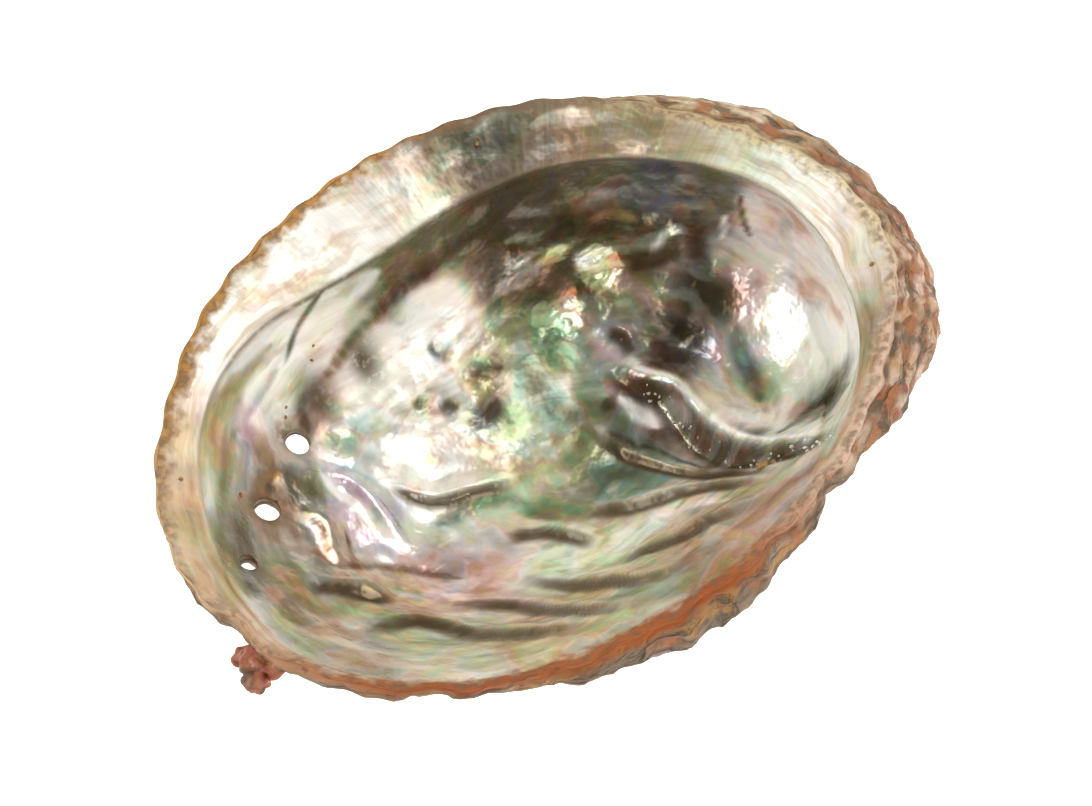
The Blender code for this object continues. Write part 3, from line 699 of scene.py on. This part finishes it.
def inside(angle, share):
    # Inner face: share 0 is the rim's crest, 1 is the middle of the floor. Gives the points, how
    # much each is on the shelf, its dirt and painted shade, the folds' painted shade, the painted
    # shade on the curl's wall and painted highlight on its lip, and how far it is out from the
    # rim.
    rim = rim_radius(angle)
    top = rim_height(angle)
    edge = np.minimum(round_curve(EDGE_RADIUS, angle), rim - NARROWEST_SHELF)
    drop = SHELF_DROP * np.clip((rim - edge) / WIDE_SHELF, LEAST_DROP, 1.0)
    on_shelf = np.clip(share / SHELF_RINGS, 0.0, 1.0)
    shelf_radius = blend(rim, edge, on_shelf)
    shelf_height = top - drop * on_shelf ** SHELF_ROUNDING

    turn = np.clip((share - SHELF_RINGS) / (1.0 - SHELF_RINGS), 0.0, 1.0)
    way = plan(angle, edge) - FLOOR_CENTRE
    reach = np.hypot(*way.T)
    lean = round_curve(INNER_LEAN, angle)
    out, wall_height, slope = wall_curve(turn, top - drop, FLOOR_HEIGHT, lean, reach,
                                         FLOOR_HANDLE)
    depth = (top - drop - wall_height) / (top - drop - FLOOR_HEIGHT)
    recess = RECESS_DEPTH * bell(angle, RECESS_ANGLE, RECESS_SPREAD) * 4.0 * depth * (1.0 - depth)
    wall = FLOOR_CENTRE + way * out[:, None] + plan(angle, recess)

    in_bowl = share > SHELF_RINGS
    place = np.where(in_bowl[:, None], wall, plan(angle, shelf_radius))
    height = np.where(in_bowl, wall_height, shelf_height)
    fade = smooth((share - SHELF_RINGS) / RELIEF_FADE)
    curl_height, curl_wall_shade, curl_lip_highlight = curl(place)
    height = height + (curl_height + pocket(place)) * fade
    fold_relief, fold_shade_mask = folds(place)
    funnel_relief, funnel_shade = funnels(place)
    solid = np.column_stack((place, height))
    dents = layers_at(solid, DENTS) * smooth((share - SHELF_RINGS) / DENT_FADE)
    upper_side = smooth(0.5 + (place[:, 1] - SWELL_MIDDLE) / SWELL_SPREAD)
    swells = layers_at(solid, SWELLS) * upper_side
    relief = (fold_relief + funnel_relief + swells) * fade + dents
    inward = -way / reach[:, None]
    facing = np.column_stack((inward * np.cos(slope)[:, None], np.sin(slope)))
    points = solid + facing * relief[:, None]
    on_edge = round_curve(EDGE_LINES, angle) * np.exp(-((share - SHELF_RINGS) / EDGE_LINE) ** 2)
    dirt_and_shade = np.clip(np.maximum(funnel_shade * fade, on_edge), 0.0, 1.0)
    shelf = 1.0 - smooth((share - SHELF_RINGS) / SHELF_BORDER + 0.5)
    from_rim = np.where(in_bowl, edge - rim - WALL_LENGTH * turn, shelf_radius - rim)
    return points, shelf, dirt_and_shade, fold_shade_mask * fade, curl_wall_shade * fade, curl_lip_highlight * fade, from_rim


def growth(points):
    # Age of the shell at points of the back, 0 at the rim, their angle along the spiral, and
    # their distance from the apex
    offset = points - APEX
    distance = np.maximum(np.hypot(offset[:, 0], offset[:, 1]), APEX_GAP)
    heading = np.arctan2(offset[:, 1], offset[:, 0])
    reach = rim_reach(heading)
    age = np.log(reach / distance)
    return age, heading - np.log(distance) / SPIRAL_RATE, distance


def rim_reach(heading):
    # Distance from the apex to the rim along each heading
    angle = np.linspace(0.0, tau, RIM_SAMPLES + 1)[:-1]
    offset = plan(angle, round_curve(RIM_RADIUS, angle)) - APEX
    around = np.arctan2(offset[:, 1], offset[:, 0])
    order = np.argsort(around)
    length = np.hypot(offset[:, 0], offset[:, 1])[order]
    return np.interp(heading, around[order], length, period=tau)


def back_relief(place):
    # Height of the back's growth steps, cords, knobs, hole mounds and spire over its plain form
    age, phase, distance = growth(place[:, :2])
    wander = noise_at(place, WANDER_SIZE, WANDER_SEED)
    steps = (age * GROWTH_STEPS + STEP_WANDER * wander) % 1.0
    relief = GROWTH_HEIGHT * (1.0 - steps) ** 2
    relief += CORD_HEIGHT * np.sin(phase * CORD_COUNT / tau + CORD_WANDER * wander)
    relief += layers_at(place, KNOBS)
    relief += SPIRE_HEIGHT * np.exp(-(distance / SPIRE_SIZE) ** 2)
    relief -= SUTURE_DEPTH * np.exp(-((distance - SUTURE_RADIUS) / SUTURE_WIDTH) ** 2)
    for x, y, radius, _ in HOLES:
        away = np.hypot(place[:, 0] - x, place[:, 1] - y)
        relief += MOUND_HEIGHT * np.exp(-(away / (radius + MOUND_RIM)) ** 2)
    return relief


def outside(angle, share):
    # Outer face: share 0 is the rim's crest, 1 is the middle of the back. Gives the points,
    # how far they are from the rim, and how deep they lie in the crust's grooves and pits.
    rim = rim_radius(angle)
    top = rim_height(angle)
    swell = round_curve(SIDE_SWELL, angle)
    waist = top - round_curve(SIDE_DROP, angle)
    lip_share = blend(LIP_SHARE, SPIRE_LIP_SHARE, np.clip(swell / FULL_SWELL, 0.0, 1.0))
    bend = 0.5 * pi * np.clip(share / lip_share, 0.0, 1.0)
    lip_radius = rim + swell * np.sin(bend)
    lip_height = blend(waist, top, np.cos(bend))

    turn = np.clip((share - lip_share) / (1.0 - lip_share), 0.0, 1.0)
    way = plan(angle, rim + swell) - BACK_CENTRE
    lean = round_curve(OUTER_LEAN, angle)
    reach = np.hypot(*way.T)
    out, under_height, slope = wall_curve(turn, waist, -WORN_DEPTH, lean, reach,
                                          BACK_HANDLE)
    under = BACK_CENTRE + way * out[:, None]

    below = share > lip_share
    place = np.where(below[:, None], under, plan(angle, lip_radius))
    height = np.where(below, under_height, lip_height)
    points = np.column_stack((place, height))

    relief = back_relief(points) * smooth(share / BACK_FADE)
    from_rim = np.hypot(lip_radius - rim, top - lip_height) + WALL_LENGTH * turn
    pits = layers_at(points, PITTING)
    wander = RIDGE_WANDER * noise_at(points, RIDGE_GRAIN, RIDGE_SEED)
    groove = 0.5 - 0.5 * np.cos(tau * (from_rim / RIDGE_STEP + wander))
    groove *= bell(angle, RIDGE_ANGLE, RIDGE_SPREAD) * smooth(from_rim / RIDGE_STEP)
    fade = smooth(share / PITTING_FADE)
    relief += (pits - PITTING_SINK) * fade - RIDGE_HEIGHT * groove
    hollow = np.clip(GROOVE_DIRT * groove - PIT_DIRT * pits, 0.0, 1.0) * fade
    outward = way / reach[:, None]
    facing = np.column_stack((outward * np.cos(slope)[:, None], -np.sin(slope)))
    points = points + facing * relief[:, None]
    points[:, 1] = np.maximum(points[:, 1], NEAR_LIMIT)
    points[:, 2] = np.clip(points[:, 2], 0.0, top)
    return points, from_rim, hollow


def colours(names):
    return np.array([PALETTE[name] for name in names])


def bowl_tint(points):
    # Soft patches whose borders wander, with the painted marks over them
    # Their white places are painted highlights and their umber places painted dark reflections
    wander = np.column_stack([noise_at(points, PATCH_GRAIN, seed) for seed in PATCH_SEEDS])
    moved = points + PATCH_WANDER * wander
    total = np.full(len(points), PATCH_FLOOR)
    tint = PATCH_FLOOR * np.tile(colours(["pearl"]), (len(points), 1))
    for name, patches in PATCHES.items():
        for x, y, z, radius in patches:
            away = ((moved - np.array((x, y, z))) ** 2).sum(axis=1)
            weight = np.exp(-away / radius ** 2)
            total += weight
            tint += weight[:, None] * np.array(PALETTE[name])
    tint = tint / total[:, None]
    ragged = noise_at(points, STROKE_GRAIN, STROKE_SEED)
    moved = points + STROKE_WANDER * (2.0 * wander + ragged[:, None])
    for name, half, path in STROKES:
        close, distance, share = near_stroke(moved, path, STROKE_REACH * half)
        taper = np.sqrt(np.sin(pi * blend(*STROKE_TAPER, share)))
        cover = STROKE_DEPTH * np.exp(-(distance / (half * taper)) ** STROKE_EDGE)
        tint[close] = blend(tint[close], np.array(PALETTE[name]), cover[:, None])
    return tint


def ring_place(angle, across, size=RING_SIZE):
    # Place round the rim and across it, with no seam
    return np.column_stack((size * np.cos(angle), size * np.sin(angle), across))


def inner_looks(angle, share):
    points, shelf, dirt_and_shade, fold_shade, wall, glint, from_rim = inside(angle, share)
    # Brown painted shade on the curl's wall and a white painted highlight along its lip
    tint = blend(bowl_tint(points), colours(["bark"]), wall[:, None])
    tint = blend(tint, colours(["white"]), glint[:, None])
    table = colours(BAND_TINTS)
    across = np.clip(share / SHELF_RINGS, 0.0, 1.0) * (len(table) - 1.0)
    stops = np.arange(len(table))
    banded = np.column_stack([np.interp(across, stops, column) for column in table.T])
    strength = BAND_STRENGTH * bell(angle, BAND_ANGLE, BAND_SPREAD)
    shelf_tint = blend(round_curve(colours(SHELF_TINTS), angle), banded, strength[:, None])
    tint = blend(tint, shelf_tint, shelf[:, None])
    satin = np.zeros(len(angle))
    for x, y, radius in SATIN:
        away = (points[:, 0] - x) ** 2 + (points[:, 1] - y) ** 2
        satin = np.maximum(satin, np.exp(-away / radius ** 2))
    polish = blend(1.0 - SATIN_DEPTH * satin, round_curve(SHELF_POLISH, angle), shelf)
    radial = shelf * bell(angle, STRIPED_ANGLE, STRIPED_SPREAD)
    from_rim = from_rim + round_curve(LIP_REACH, angle)
    out = np.hypot(*(points[:, :2] - FLOOR_CENTRE).T)
    ring_size = RING_SIZE * np.clip(out / ROUND_REACH, 0.0, 1.0)
    return {
        "place": points,
        "tint": np.clip(tint, DARKEST, 1.0),
        "lip": np.clip(round_curve(colours(LIP_TINTS), angle), DARKEST, 1.0),
        "crust": np.zeros(len(angle)),
        "dirt_and_shade": dirt_and_shade,
        "fold_shade": FOLD_SHADE_DEPTH * fold_shade,
        "shelf": shelf,
        "radial": radial,
        "polish": np.clip(polish, 0.0, 1.0),
        "from_rim": from_rim,
        "rings": ring_place(angle, WALL_LENGTH * share, ring_size),
    }


def outer_looks(angle, share):
    points, from_rim, hollow = outside(angle, share)
    nothing = np.zeros(len(angle))
    return {
        "place": points,
        "tint": np.clip(round_curve(colours(CRUST_TINTS), angle), DARKEST, 1.0),
        "lip": np.clip(round_curve(colours(LIP_TINTS), angle), DARKEST, 1.0),
        "crust": smooth(share / CRUST_BORDER),
        "dirt_and_shade": hollow,
        "fold_shade": nothing,
        "shelf": nothing,
        "radial": nothing,
        "polish": nothing,
        "from_rim": from_rim,
        "rings": ring_place(angle, -from_rim),
    }


def ring_faces(rings):
    # Quads between rings of points, and a fan of triangles to a pole at each end
    here = np.arange(SEGMENTS)
    nxt = (here + 1) % SEGMENTS
    faces = []
    for ring in range(rings - 1):
        low, high = ring * SEGMENTS, (ring + 1) * SEGMENTS
        faces += np.column_stack((low + here, low + nxt, high + nxt, high + here)).tolist()
    first, last = rings * SEGMENTS, rings * SEGMENTS + 1
    faces += [(first, int(b), int(a)) for a, b in zip(here, nxt)]
    end = (rings - 1) * SEGMENTS
    faces += [(last, end + int(a), end + int(b)) for a, b in zip(here, nxt)]
    return faces


def shell_surface():
    # Rings from the middle of the back, over the rim, to the middle of the bowl
    around = np.linspace(0.0, tau, SEGMENTS + 1)[:-1]
    outer = 1.0 - np.arange(1, OUTER_RINGS) / OUTER_RINGS
    on_shelf = SHELF_RINGS * np.linspace(0.0, 1.0, SHELF_COUNT)
    down = np.linspace(0.0, 1.0, INNER_RINGS - SHELF_COUNT + 2)[1:-1]
    in_bowl = blend(SHELF_RINGS, 1.0, down ** RING_CROWDING)
    inner = np.concatenate((on_shelf, in_bowl))
    layers = [outer_looks(np.tile(around, len(outer)), np.repeat(outer, SEGMENTS)),
              inner_looks(np.tile(around, len(inner)), np.repeat(inner, SEGMENTS)),
              outer_looks(np.zeros(1), np.ones(1)),
              inner_looks(np.zeros(1), np.ones(1))]
    looks = {name: np.concatenate([layer[name] for layer in layers]) for name in layers[0]}
    return looks, ring_faces(len(outer) + len(inner))


def add_object(name, data):
    item = bpy.data.objects.new(name, data)
    bpy.context.scene.collection.objects.link(item)
    return item


def mesh_of(shapes, name):
    data = bpy.data.meshes.new(name)
    shapes.to_mesh(data)
    shapes.free()
    return data


def drilled(item, floor):
    # The shell with its open breathing holes cut through
    drill = bmesh.new()
    direction = Vector(HOLE_TILT).to_track_quat("Z", "Y").to_matrix().to_4x4()
    for x, y, radius, is_open in HOLES:
        if is_open:
            made = bmesh.ops.create_cone(drill, cap_ends=True, segments=HOLE_SIDES,
                                         radius1=radius * MM, radius2=radius * MM,
                                         depth=HOLE_LENGTH * MM)
            bmesh.ops.transform(drill, matrix=direction, verts=made["verts"])
            where = placed(x, y, height_over(floor, x, y))
            bmesh.ops.translate(drill, vec=where, verts=made["verts"])
    tool = add_object("drill", mesh_of(drill, "drill"))
    cut = item.modifiers.new("holes", "BOOLEAN")
    cut.operation = "DIFFERENCE"
    cut.solver = "EXACT"
    cut.object = tool
    bpy.context.view_layer.update()
    apply_modifiers(item)
    bpy.data.objects.remove(tool)


def apply_modifiers(item):
    settled = item.evaluated_get(bpy.context.evaluated_depsgraph_get())
    item.data = bpy.data.meshes.new_from_object(settled)
    item.modifiers.clear()


def height_over(tree, x, y):
    # Height in millimetres of the first surface met from above
    hit = tree.ray_cast(placed(x, y, LOOK_HEIGHT), Vector((0.0, 0.0, -1.0)))
    return hit[0].z / MM


def paint(data, known, looks):
    # Each vertex takes the looks of the nearest vertex of the uncut shell
    tree = kdtree.KDTree(len(known))
    for number, point in enumerate(known):
        tree.insert(point, number)
    tree.balance()
    nearest = np.array([tree.find(vert.co)[1] for vert in data.vertices])
    opaque = np.ones(len(nearest))
    for name, values in looks.items():
        values = values[nearest]
        if name in ("tint", "lip"):
            layer = data.attributes.new(name, "FLOAT_COLOR", "POINT")
            layer.data.foreach_set("color", np.column_stack((values, opaque)).ravel())
        elif values.ndim > 1:
            layer = data.attributes.new(name, "FLOAT_VECTOR", "POINT")
            layer.data.foreach_set("vector", values.ravel())
        else:
            layer = data.attributes.new(name, "FLOAT", "POINT")
            layer.data.foreach_set("value", values)


# Numbers of a colour mix node's inputs: its share, first and second colour
COLOUR_MIX_INPUTS = (0, 6, 7)


class Shader:
    # Short ways to add and join shader nodes
    def __init__(self, name):
        self.material = bpy.data.materials.new(name)
        self.material.use_nodes = True
        self.tree = self.material.node_tree
        self.surface = self.tree.nodes["Principled BSDF"]

    def add(self, kind, **inputs):
        item = self.tree.nodes.new("ShaderNode" + kind)
        for name, value in inputs.items():
            self.put(item, name.replace("_", " "), value)
        return item

    def put(self, item, name, value):
        # Set an input by its name or number to a value, or to another node's output
        socket = item.inputs[name]
        if isinstance(value, bpy.types.NodeSocket):
            self.tree.links.new(value, socket)
        elif isinstance(value, str):
            socket.default_value = (*PALETTE[value], 1.0)
        else:
            socket.default_value = value

    def put_all(self, item, values):
        for number, value in enumerate(values):
            self.put(item, number, value)

    def attribute(self, name, output="Fac"):
        item = self.tree.nodes.new("ShaderNodeAttribute")
        item.attribute_name = name
        return item.outputs[output]

    def noise(self, size, detail=3.0):
        # Noise with grains of a size in millimetres
        item = self.add("TexNoise", Scale=1.0 / (size * MM), Detail=detail)
        self.put(item, "Vector", self.place())
        return item.outputs["Fac"]

    def drawn_out(self, vector, lengths, detail, scale=1.0):
        # Noise with its own length in millimetres along each axis of a vector
        item = self.add("TexNoise", Scale=scale, Detail=detail)
        self.put(item, "Vector", self.stretched(vector, [1.0 / length for length in lengths]))
        return item.outputs["Fac"]

    def place(self):
        return self.tree.nodes.new("ShaderNodeTexCoord").outputs["Object"]

    def sum(self, operation, first, second=0.0, third=0.0):
        item = self.tree.nodes.new("ShaderNodeMath")
        item.operation = operation
        self.put_all(item, (first, second, third))
        return item.outputs[0]

    def mix(self, share, first, second, blend_type="MIX"):
        item = self.tree.nodes.new("ShaderNodeMix")
        item.data_type = "RGBA"
        item.blend_type = blend_type
        for number, value in zip(COLOUR_MIX_INPUTS, (share, first, second)):
            self.put(item, number, value)
        return item.outputs[2]

    def ramp(self, factor, stops):
        item = self.tree.nodes.new("ShaderNodeValToRGB")
        self.tree.links.new(factor, item.inputs[0])
        band = item.color_ramp
        while len(band.elements) < len(stops):
            band.elements.new(0.5)
        for element, (place, name) in zip(band.elements, stops):
            element.position = place
            element.color = (*PALETTE[name], 1.0)
        return item.outputs[0]

    def stretched(self, vector, scale):
        item = self.tree.nodes.new("ShaderNodeVectorMath")
        item.operation = "MULTIPLY"
        self.tree.links.new(vector, item.inputs[0])
        item.inputs[1].default_value = scale
        return item.outputs[0]

    def wandering(self, vector, size, amount):
        # Coordinates in millimetres moved about by up to about half the amount
        item = self.add("TexNoise", Scale=1.0 / (size * MM), Detail=2.0)
        self.put(item, "Vector", self.place())
        shift = self.stretched(item.outputs["Color"], (amount, amount, amount))
        total = self.tree.nodes.new("ShaderNodeVectorMath")
        total.operation = "ADD"
        self.tree.links.new(vector, total.inputs[0])
        self.tree.links.new(shift, total.inputs[1])
        return total.outputs[0]

    def range(self, value, low, high, to_low=0.0, to_high=1.0):
        item = self.add("MapRange")
        self.put_all(item, (value, low, high, to_low, to_high))
        return item.outputs[0]

    def bump(self, height, distance, strength, under=None):
        item = self.add("Bump", Strength=strength, Distance=distance * MM, Height=height)
        if under is not None:
            self.put(item, "Normal", under)
        return item.outputs[0]


def shell_material():
    s = Shader("nacre_and_crust")
    crust = s.attribute("crust")
    shelf = s.attribute("shelf")
    from_rim = s.attribute("from_rim")
    tint = s.attribute("tint", "Color")
    rings = s.attribute("rings", "Vector")
    across_lines = s.drawn_out(rings, ACROSS_LINES, 3.0)
    rings = s.wandering(rings, LINE_WANDER_SIZE, LINE_WANDER)
    along_lines = s.drawn_out(rings, ALONG_LINES, 4.0)
    streaks = s.drawn_out(rings, STREAKS, 3.0)
    flakes = s.drawn_out(rings, FLAKES, 4.0)

    radial = s.attribute("radial")
    lines = s.mix(radial, along_lines, across_lines)
    lightness = s.tree.nodes.new("ShaderNodeRGBToBW")
    s.tree.links.new(tint, lightness.inputs[0])
    vivid = s.sum("MULTIPLY", s.range(lightness.outputs[0], 0.05, 0.35, 0.3, 0.65),
                  s.range(shelf, 0.0, 1.0, 1.0, 0.6))
    nacre = nacre_colour(s, tint, lines, streaks, vivid)
    unstriped = s.sum("SUBTRACT", shelf, radial)
    banded = s.sum("MULTIPLY", unstriped, s.range(along_lines, 0.5, 0.6, 0.0, 0.7))
    nacre = s.mix(banded, nacre, "sand")
    # Brown painted shade of the holes' hollows, with the brown line along the shelf's inner edge,
    # only on the nacre
    inner_dirt_and_shade = s.sum("MULTIPLY", s.attribute("dirt_and_shade"), s.sum("SUBTRACT", 1.0, crust))
    brown = s.sum("MULTIPLY", inner_dirt_and_shade, s.range(s.noise(1.4, 3.0), 0.3, 0.5, 0.6, 1.0))
    nacre = s.mix(brown, nacre, "umber")
    # Brown painted shade on the sides of the folds and blisters toward the camera
    nacre = s.mix(s.attribute("fold_shade"), nacre, "umber")
    fringe = s.sum("ADD", from_rim, s.range(s.noise(2.4, 5.0), 0.3, 0.7, -1.6, 1.2))
    fringe = s.range(fringe, -2.6, 0.0)
    lip = s.attribute("lip", "Color")
    stained_lip = s.mix(s.range(s.noise(1.5, 3.0), 0.4, 0.6, 0.0, 0.7), lip, "bark")
    nacre = s.mix(fringe, nacre, stained_lip)
    colour = s.mix(crust, nacre, crust_colour(s, tint, lip, from_rim, rings, flakes))

    dull = s.sum("MAXIMUM", s.sum("MAXIMUM", crust, fringe), brown)
    s.put(s.surface, "Base Color", colour)
    shine = s.range(lightness.outputs[0], 0.1, 0.8, 0.8, 0.15)
    polish = s.attribute("polish")
    shine = s.sum("MULTIPLY", shine, polish)
    s.put(s.surface, "Metallic", s.sum("MULTIPLY", shine, s.sum("SUBTRACT", 1.0, dull)))
    smooth_side = s.range(polish, 0.0, 1.0, 0.42, 0.25)
    s.put(s.surface, "Roughness", s.range(dull, 0.0, 1.0, smooth_side, 0.7))
    hammered = s.bump(s.noise(3.8, 2.0), 0.9, s.range(shelf, 0.0, 1.0, 0.42, 0.2))
    lined = s.bump(streaks, 0.5, 0.3, hammered)
    pits = s.sum("ADD", s.range(flakes, 0.34, 0.5), s.noise(3.0, 5.0))
    grown = s.sum("MULTIPLY", crust, s.range(from_rim, 0.5, 4.0))
    s.put(s.surface, "Normal", s.bump(s.sum("MULTIPLY", grown, pits), 1.3, 1.0, lined))
    return s.material


def nacre_colour(s, tint, lines, streaks, vivid):
    # Regional tint with long streaks, drifting pearly hues and fine growth lines
    normal = s.tree.nodes.new("ShaderNodeTexCoord").outputs["Normal"]
    facing = s.tree.nodes.new("ShaderNodeSeparateXYZ")
    s.tree.links.new(normal, facing.inputs[0])
    hue = s.sum("MULTIPLY_ADD", s.noise(11.0, 0.0), 1.3, s.sum("MULTIPLY", s.noise(3.8, 0.0), 0.6))
    hue = s.sum("MULTIPLY_ADD", facing.outputs[0], 0.5, hue)
    hue = s.sum("FRACT", s.sum("MULTIPLY", hue, PLAY_TURNS))
    play = s.ramp(hue, PLAY)
    browner = s.mix(1.0, tint, "tan", "MULTIPLY")
    shaded = s.mix(s.range(streaks, 0.49, 0.34, 0.0, 0.6), tint, browner)
    nacre = s.mix(s.range(streaks, 0.52, 0.66, 0.0, 0.3), shaded, "white")
    nacre = s.mix(vivid, nacre, play, "SOFT_LIGHT")
    nacre = s.mix(s.sum("MULTIPLY", vivid, 0.12), nacre, play)
    return s.mix(1.0, nacre, s.range(lines, 0.36, 0.6, 0.84, 1.04), "MULTIPLY")


def crust_colour(s, tint, lip, from_rim, rings, flakes):
    # The lip's band, then pale flaky crust with brown and red pits, all drawn out along the rim
    layers = s.drawn_out(rings, CRUST_LAYERS, 4.0)
    large_flakes = s.drawn_out(rings, FLAKES, 4.0, 0.8)
    band = s.range(s.sum("MULTIPLY_ADD", s.noise(5.0, 3.0), 2.0, from_rim), 2.6, 4.4)
    browner = s.mix(1.0, tint, "tan", "MULTIPLY")
    pale = s.mix(s.range(s.noise(4.0, 4.0), 0.38, 0.55), browner, tint)
    pale = s.mix(s.range(layers, 0.48, 0.6, 0.0, 0.75), pale, "taupe")
    pale = s.mix(s.range(layers, 0.46, 0.36, 0.0, 0.5), pale, s.mix(0.5, tint, "petal"))
    pale = s.mix(s.range(large_flakes, 0.52, 0.62, 0.0, 0.7), pale, "ochre")
    outer = s.mix(band, lip, pale)
    deep = s.mix(s.range(s.noise(4.0, 3.0), 0.45, 0.6), "rust", "bark")
    outer = s.mix(s.range(s.attribute("dirt_and_shade"), 0.12, 0.5, 0.0, 0.95), outer, deep)
    pits = s.range(flakes, 0.42, 0.34, 0.0, 0.9)
    outer = s.mix(s.sum("MULTIPLY", pits, band), outer, "umber")
    return s.mix(s.range(s.noise(2.4, 3.0), 0.66, 0.72), outer, "brick")


def make_shell():
    looks, faces = shell_surface()
    known = all_placed(looks.pop("place"))
    data = bpy.data.meshes.new("abalone_shell")
    data.from_pydata(known.tolist(), [], faces)
    item = add_object("abalone_shell", data)
    bpy.context.view_layer.update()
    floor = BVHTree.FromPolygons([Vector(p) for p in known], faces)
    drilled(item, floor)
    paint(item.data, known, looks)
    item.data.materials.clear()
    item.data.materials.append(shell_material())
    item.data.shade_smooth()
    return item, floor


def make_lump():
    # Red growth on the lip beside the youngest notch
    knobs = bmesh.new()
    for x, y, z, radius in LUMPS:
        made = bmesh.ops.create_icosphere(knobs, subdivisions=4, radius=LUMP_SHRINK * radius * MM)
        bmesh.ops.translate(knobs, vec=placed(x, y, z), verts=made["verts"])
        for vert in made["verts"]:
            away = vert.co - placed(x, y, z)
            vert.co += away * LUMP_KNOBS * noise.noise(vert.co / (LUMP_GRAIN * MM))
    item = add_object("lip_lump", mesh_of(knobs, "lip_lump"))
    fuse = item.modifiers.new("fuse", "REMESH")
    fuse.mode = "VOXEL"
    fuse.voxel_size = LUMP_VOXEL * MM
    bpy.context.view_layer.update()
    apply_modifiers(item)
    item.data.shade_smooth()
    s = Shader("red_growth")
    colour = s.mix(s.range(s.noise(1.2, 4.0), 0.4, 0.6), "brick", "rust")
    colour = s.mix(s.range(s.noise(2.0, 3.0), 0.6, 0.7, 0.0, 0.5), colour, "blush")
    colour = s.mix(s.range(s.noise(3.4, 3.0), 0.5, 0.6, 0.0, 0.8), colour, "umber")
    s.put(s.surface, "Base Color", colour)
    s.put(s.surface, "Roughness", 0.6)
    s.put(s.surface, "Normal", s.bump(s.noise(0.8, 4.0), 0.5, 0.7))
    item.data.materials.append(s.material)
    return item


def make_grains(name, spots, floor, material):
    # Small faceted grains set into the surface, joined into one mesh
    chance = random.Random(len(spots))
    grains = bmesh.new()
    for x, y, radius in spots:
        turn = Vector([chance.uniform(-1.0, 1.0) for _ in range(3)]).to_track_quat("Z", "Y")
        made = bmesh.ops.create_icosphere(grains, subdivisions=1, radius=radius * MM)
        for vert in made["verts"]:
            vert.co = turn @ (vert.co * Vector(GRAIN_SHAPE))
            vert.co *= chance.uniform(*GRAIN_VARIETY)
        where = placed(x, y, height_over(floor, x, y) + GRAIN_RISE * radius)
        bmesh.ops.translate(grains, vec=where, verts=made["verts"])
    data = mesh_of(grains, name)
    data.materials.append(material)
    return add_object(name, data)


def crystal_spots():
    # Plan places on the curl's wall
    chance = random.Random(CRYSTAL_SEED)
    line = path_points(CURL_PATH)
    heading = np.gradient(line, axis=0)
    first, last = CRYSTAL_STRETCH
    spots = []
    for _ in range(CRYSTAL_COUNT):
        place = int(chance.uniform(first, last) * (len(line) - 1))
        right = np.array((heading[place, 1], -heading[place, 0]))
        right /= np.hypot(*right)
        x, y = line[place] + right * CURL_WALL * chance.triangular(*CRYSTAL_ACROSS)
        spots.append((x, y, chance.uniform(*CRYSTAL_SIZES)))
    return spots


def plain_grain(name, colour, roughness):
    s = Shader(name)
    s.put(s.surface, "Base Color", s.mix(s.range(s.noise(0.6, 2.0), 0.3, 0.7), colour, "bark"))
    s.put(s.surface, "Roughness", roughness)
    return s.material


def make_camera():
    azimuth, elevation = radians(CAMERA_AZIMUTH), radians(CAMERA_ELEVATION)
    back = Vector((sin(azimuth) * cos(elevation), -cos(azimuth) * cos(elevation), sin(elevation)))
    target = placed(*CAMERA_TARGET)
    data = bpy.data.cameras.new("camera")
    data.lens = CAMERA_LENS
    data.sensor_width = CAMERA_SENSOR
    item = add_object("camera", data)
    item.location = target + back * CAMERA_DISTANCE * MM
    item.rotation_euler = back.to_track_quat("Z", "Y").to_euler()
    bpy.context.scene.camera = item


def area_light(name, place, size, power, colour):
    data = bpy.data.lights.new(name, "AREA")
    data.shape = "RECTANGLE"
    data.size, data.size_y = size
    data.energy = power
    data.color = colour
    item = add_object(name, data)
    item.location = place
    item.rotation_euler = Vector(place).to_track_quat("Z", "Y").to_euler()


def make_studio():
    bpy.ops.mesh.primitive_plane_add(size=PAPER_SIZE)
    floor = bpy.context.object
    floor.name = "floor"
    paper = Shader("paper")
    paper.put(paper.surface, "Base Color", PAPER_COLOUR)
    paper.put(paper.surface, "Roughness", 0.9)
    paper.put(paper.surface, "Emission Color", (1.0, 1.0, 1.0, 1.0))
    paper.put(paper.surface, "Emission Strength", PAPER_GLOW)
    floor.data.materials.append(paper.material)
    for light in LIGHTS:
        area_light(*light)
    world = bpy.context.scene.world or bpy.data.worlds.new("world")
    bpy.context.scene.world = world
    world.use_nodes = True
    background = world.node_tree.nodes["Background"]
    background.inputs["Color"].default_value = WORLD_COLOUR
    background.inputs["Strength"].default_value = WORLD_STRENGTH
    bpy.context.scene.view_settings.view_transform = "Standard"


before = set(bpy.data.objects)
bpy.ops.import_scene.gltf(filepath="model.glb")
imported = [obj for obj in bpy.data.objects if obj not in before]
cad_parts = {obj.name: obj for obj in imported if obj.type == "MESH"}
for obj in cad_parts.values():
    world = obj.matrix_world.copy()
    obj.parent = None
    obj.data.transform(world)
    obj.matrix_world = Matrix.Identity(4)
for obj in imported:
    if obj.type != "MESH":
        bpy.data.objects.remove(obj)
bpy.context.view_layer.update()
shell, floor_tree = make_shell()
lump = make_lump()
crystal = plain_grain("crystal", "white", 0.3)
crystals = make_grains("curl_crystals", crystal_spots(), floor_tree, crystal)
amber = plain_grain("amber_sand", "ochre", 0.35)
sand = make_grains("sand_grains", SAND_GRAINS, floor_tree, amber)
for piece in (shell, lump, crystals, sand):
    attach(piece, "root")
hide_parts("shell")
make_camera()
make_studio()
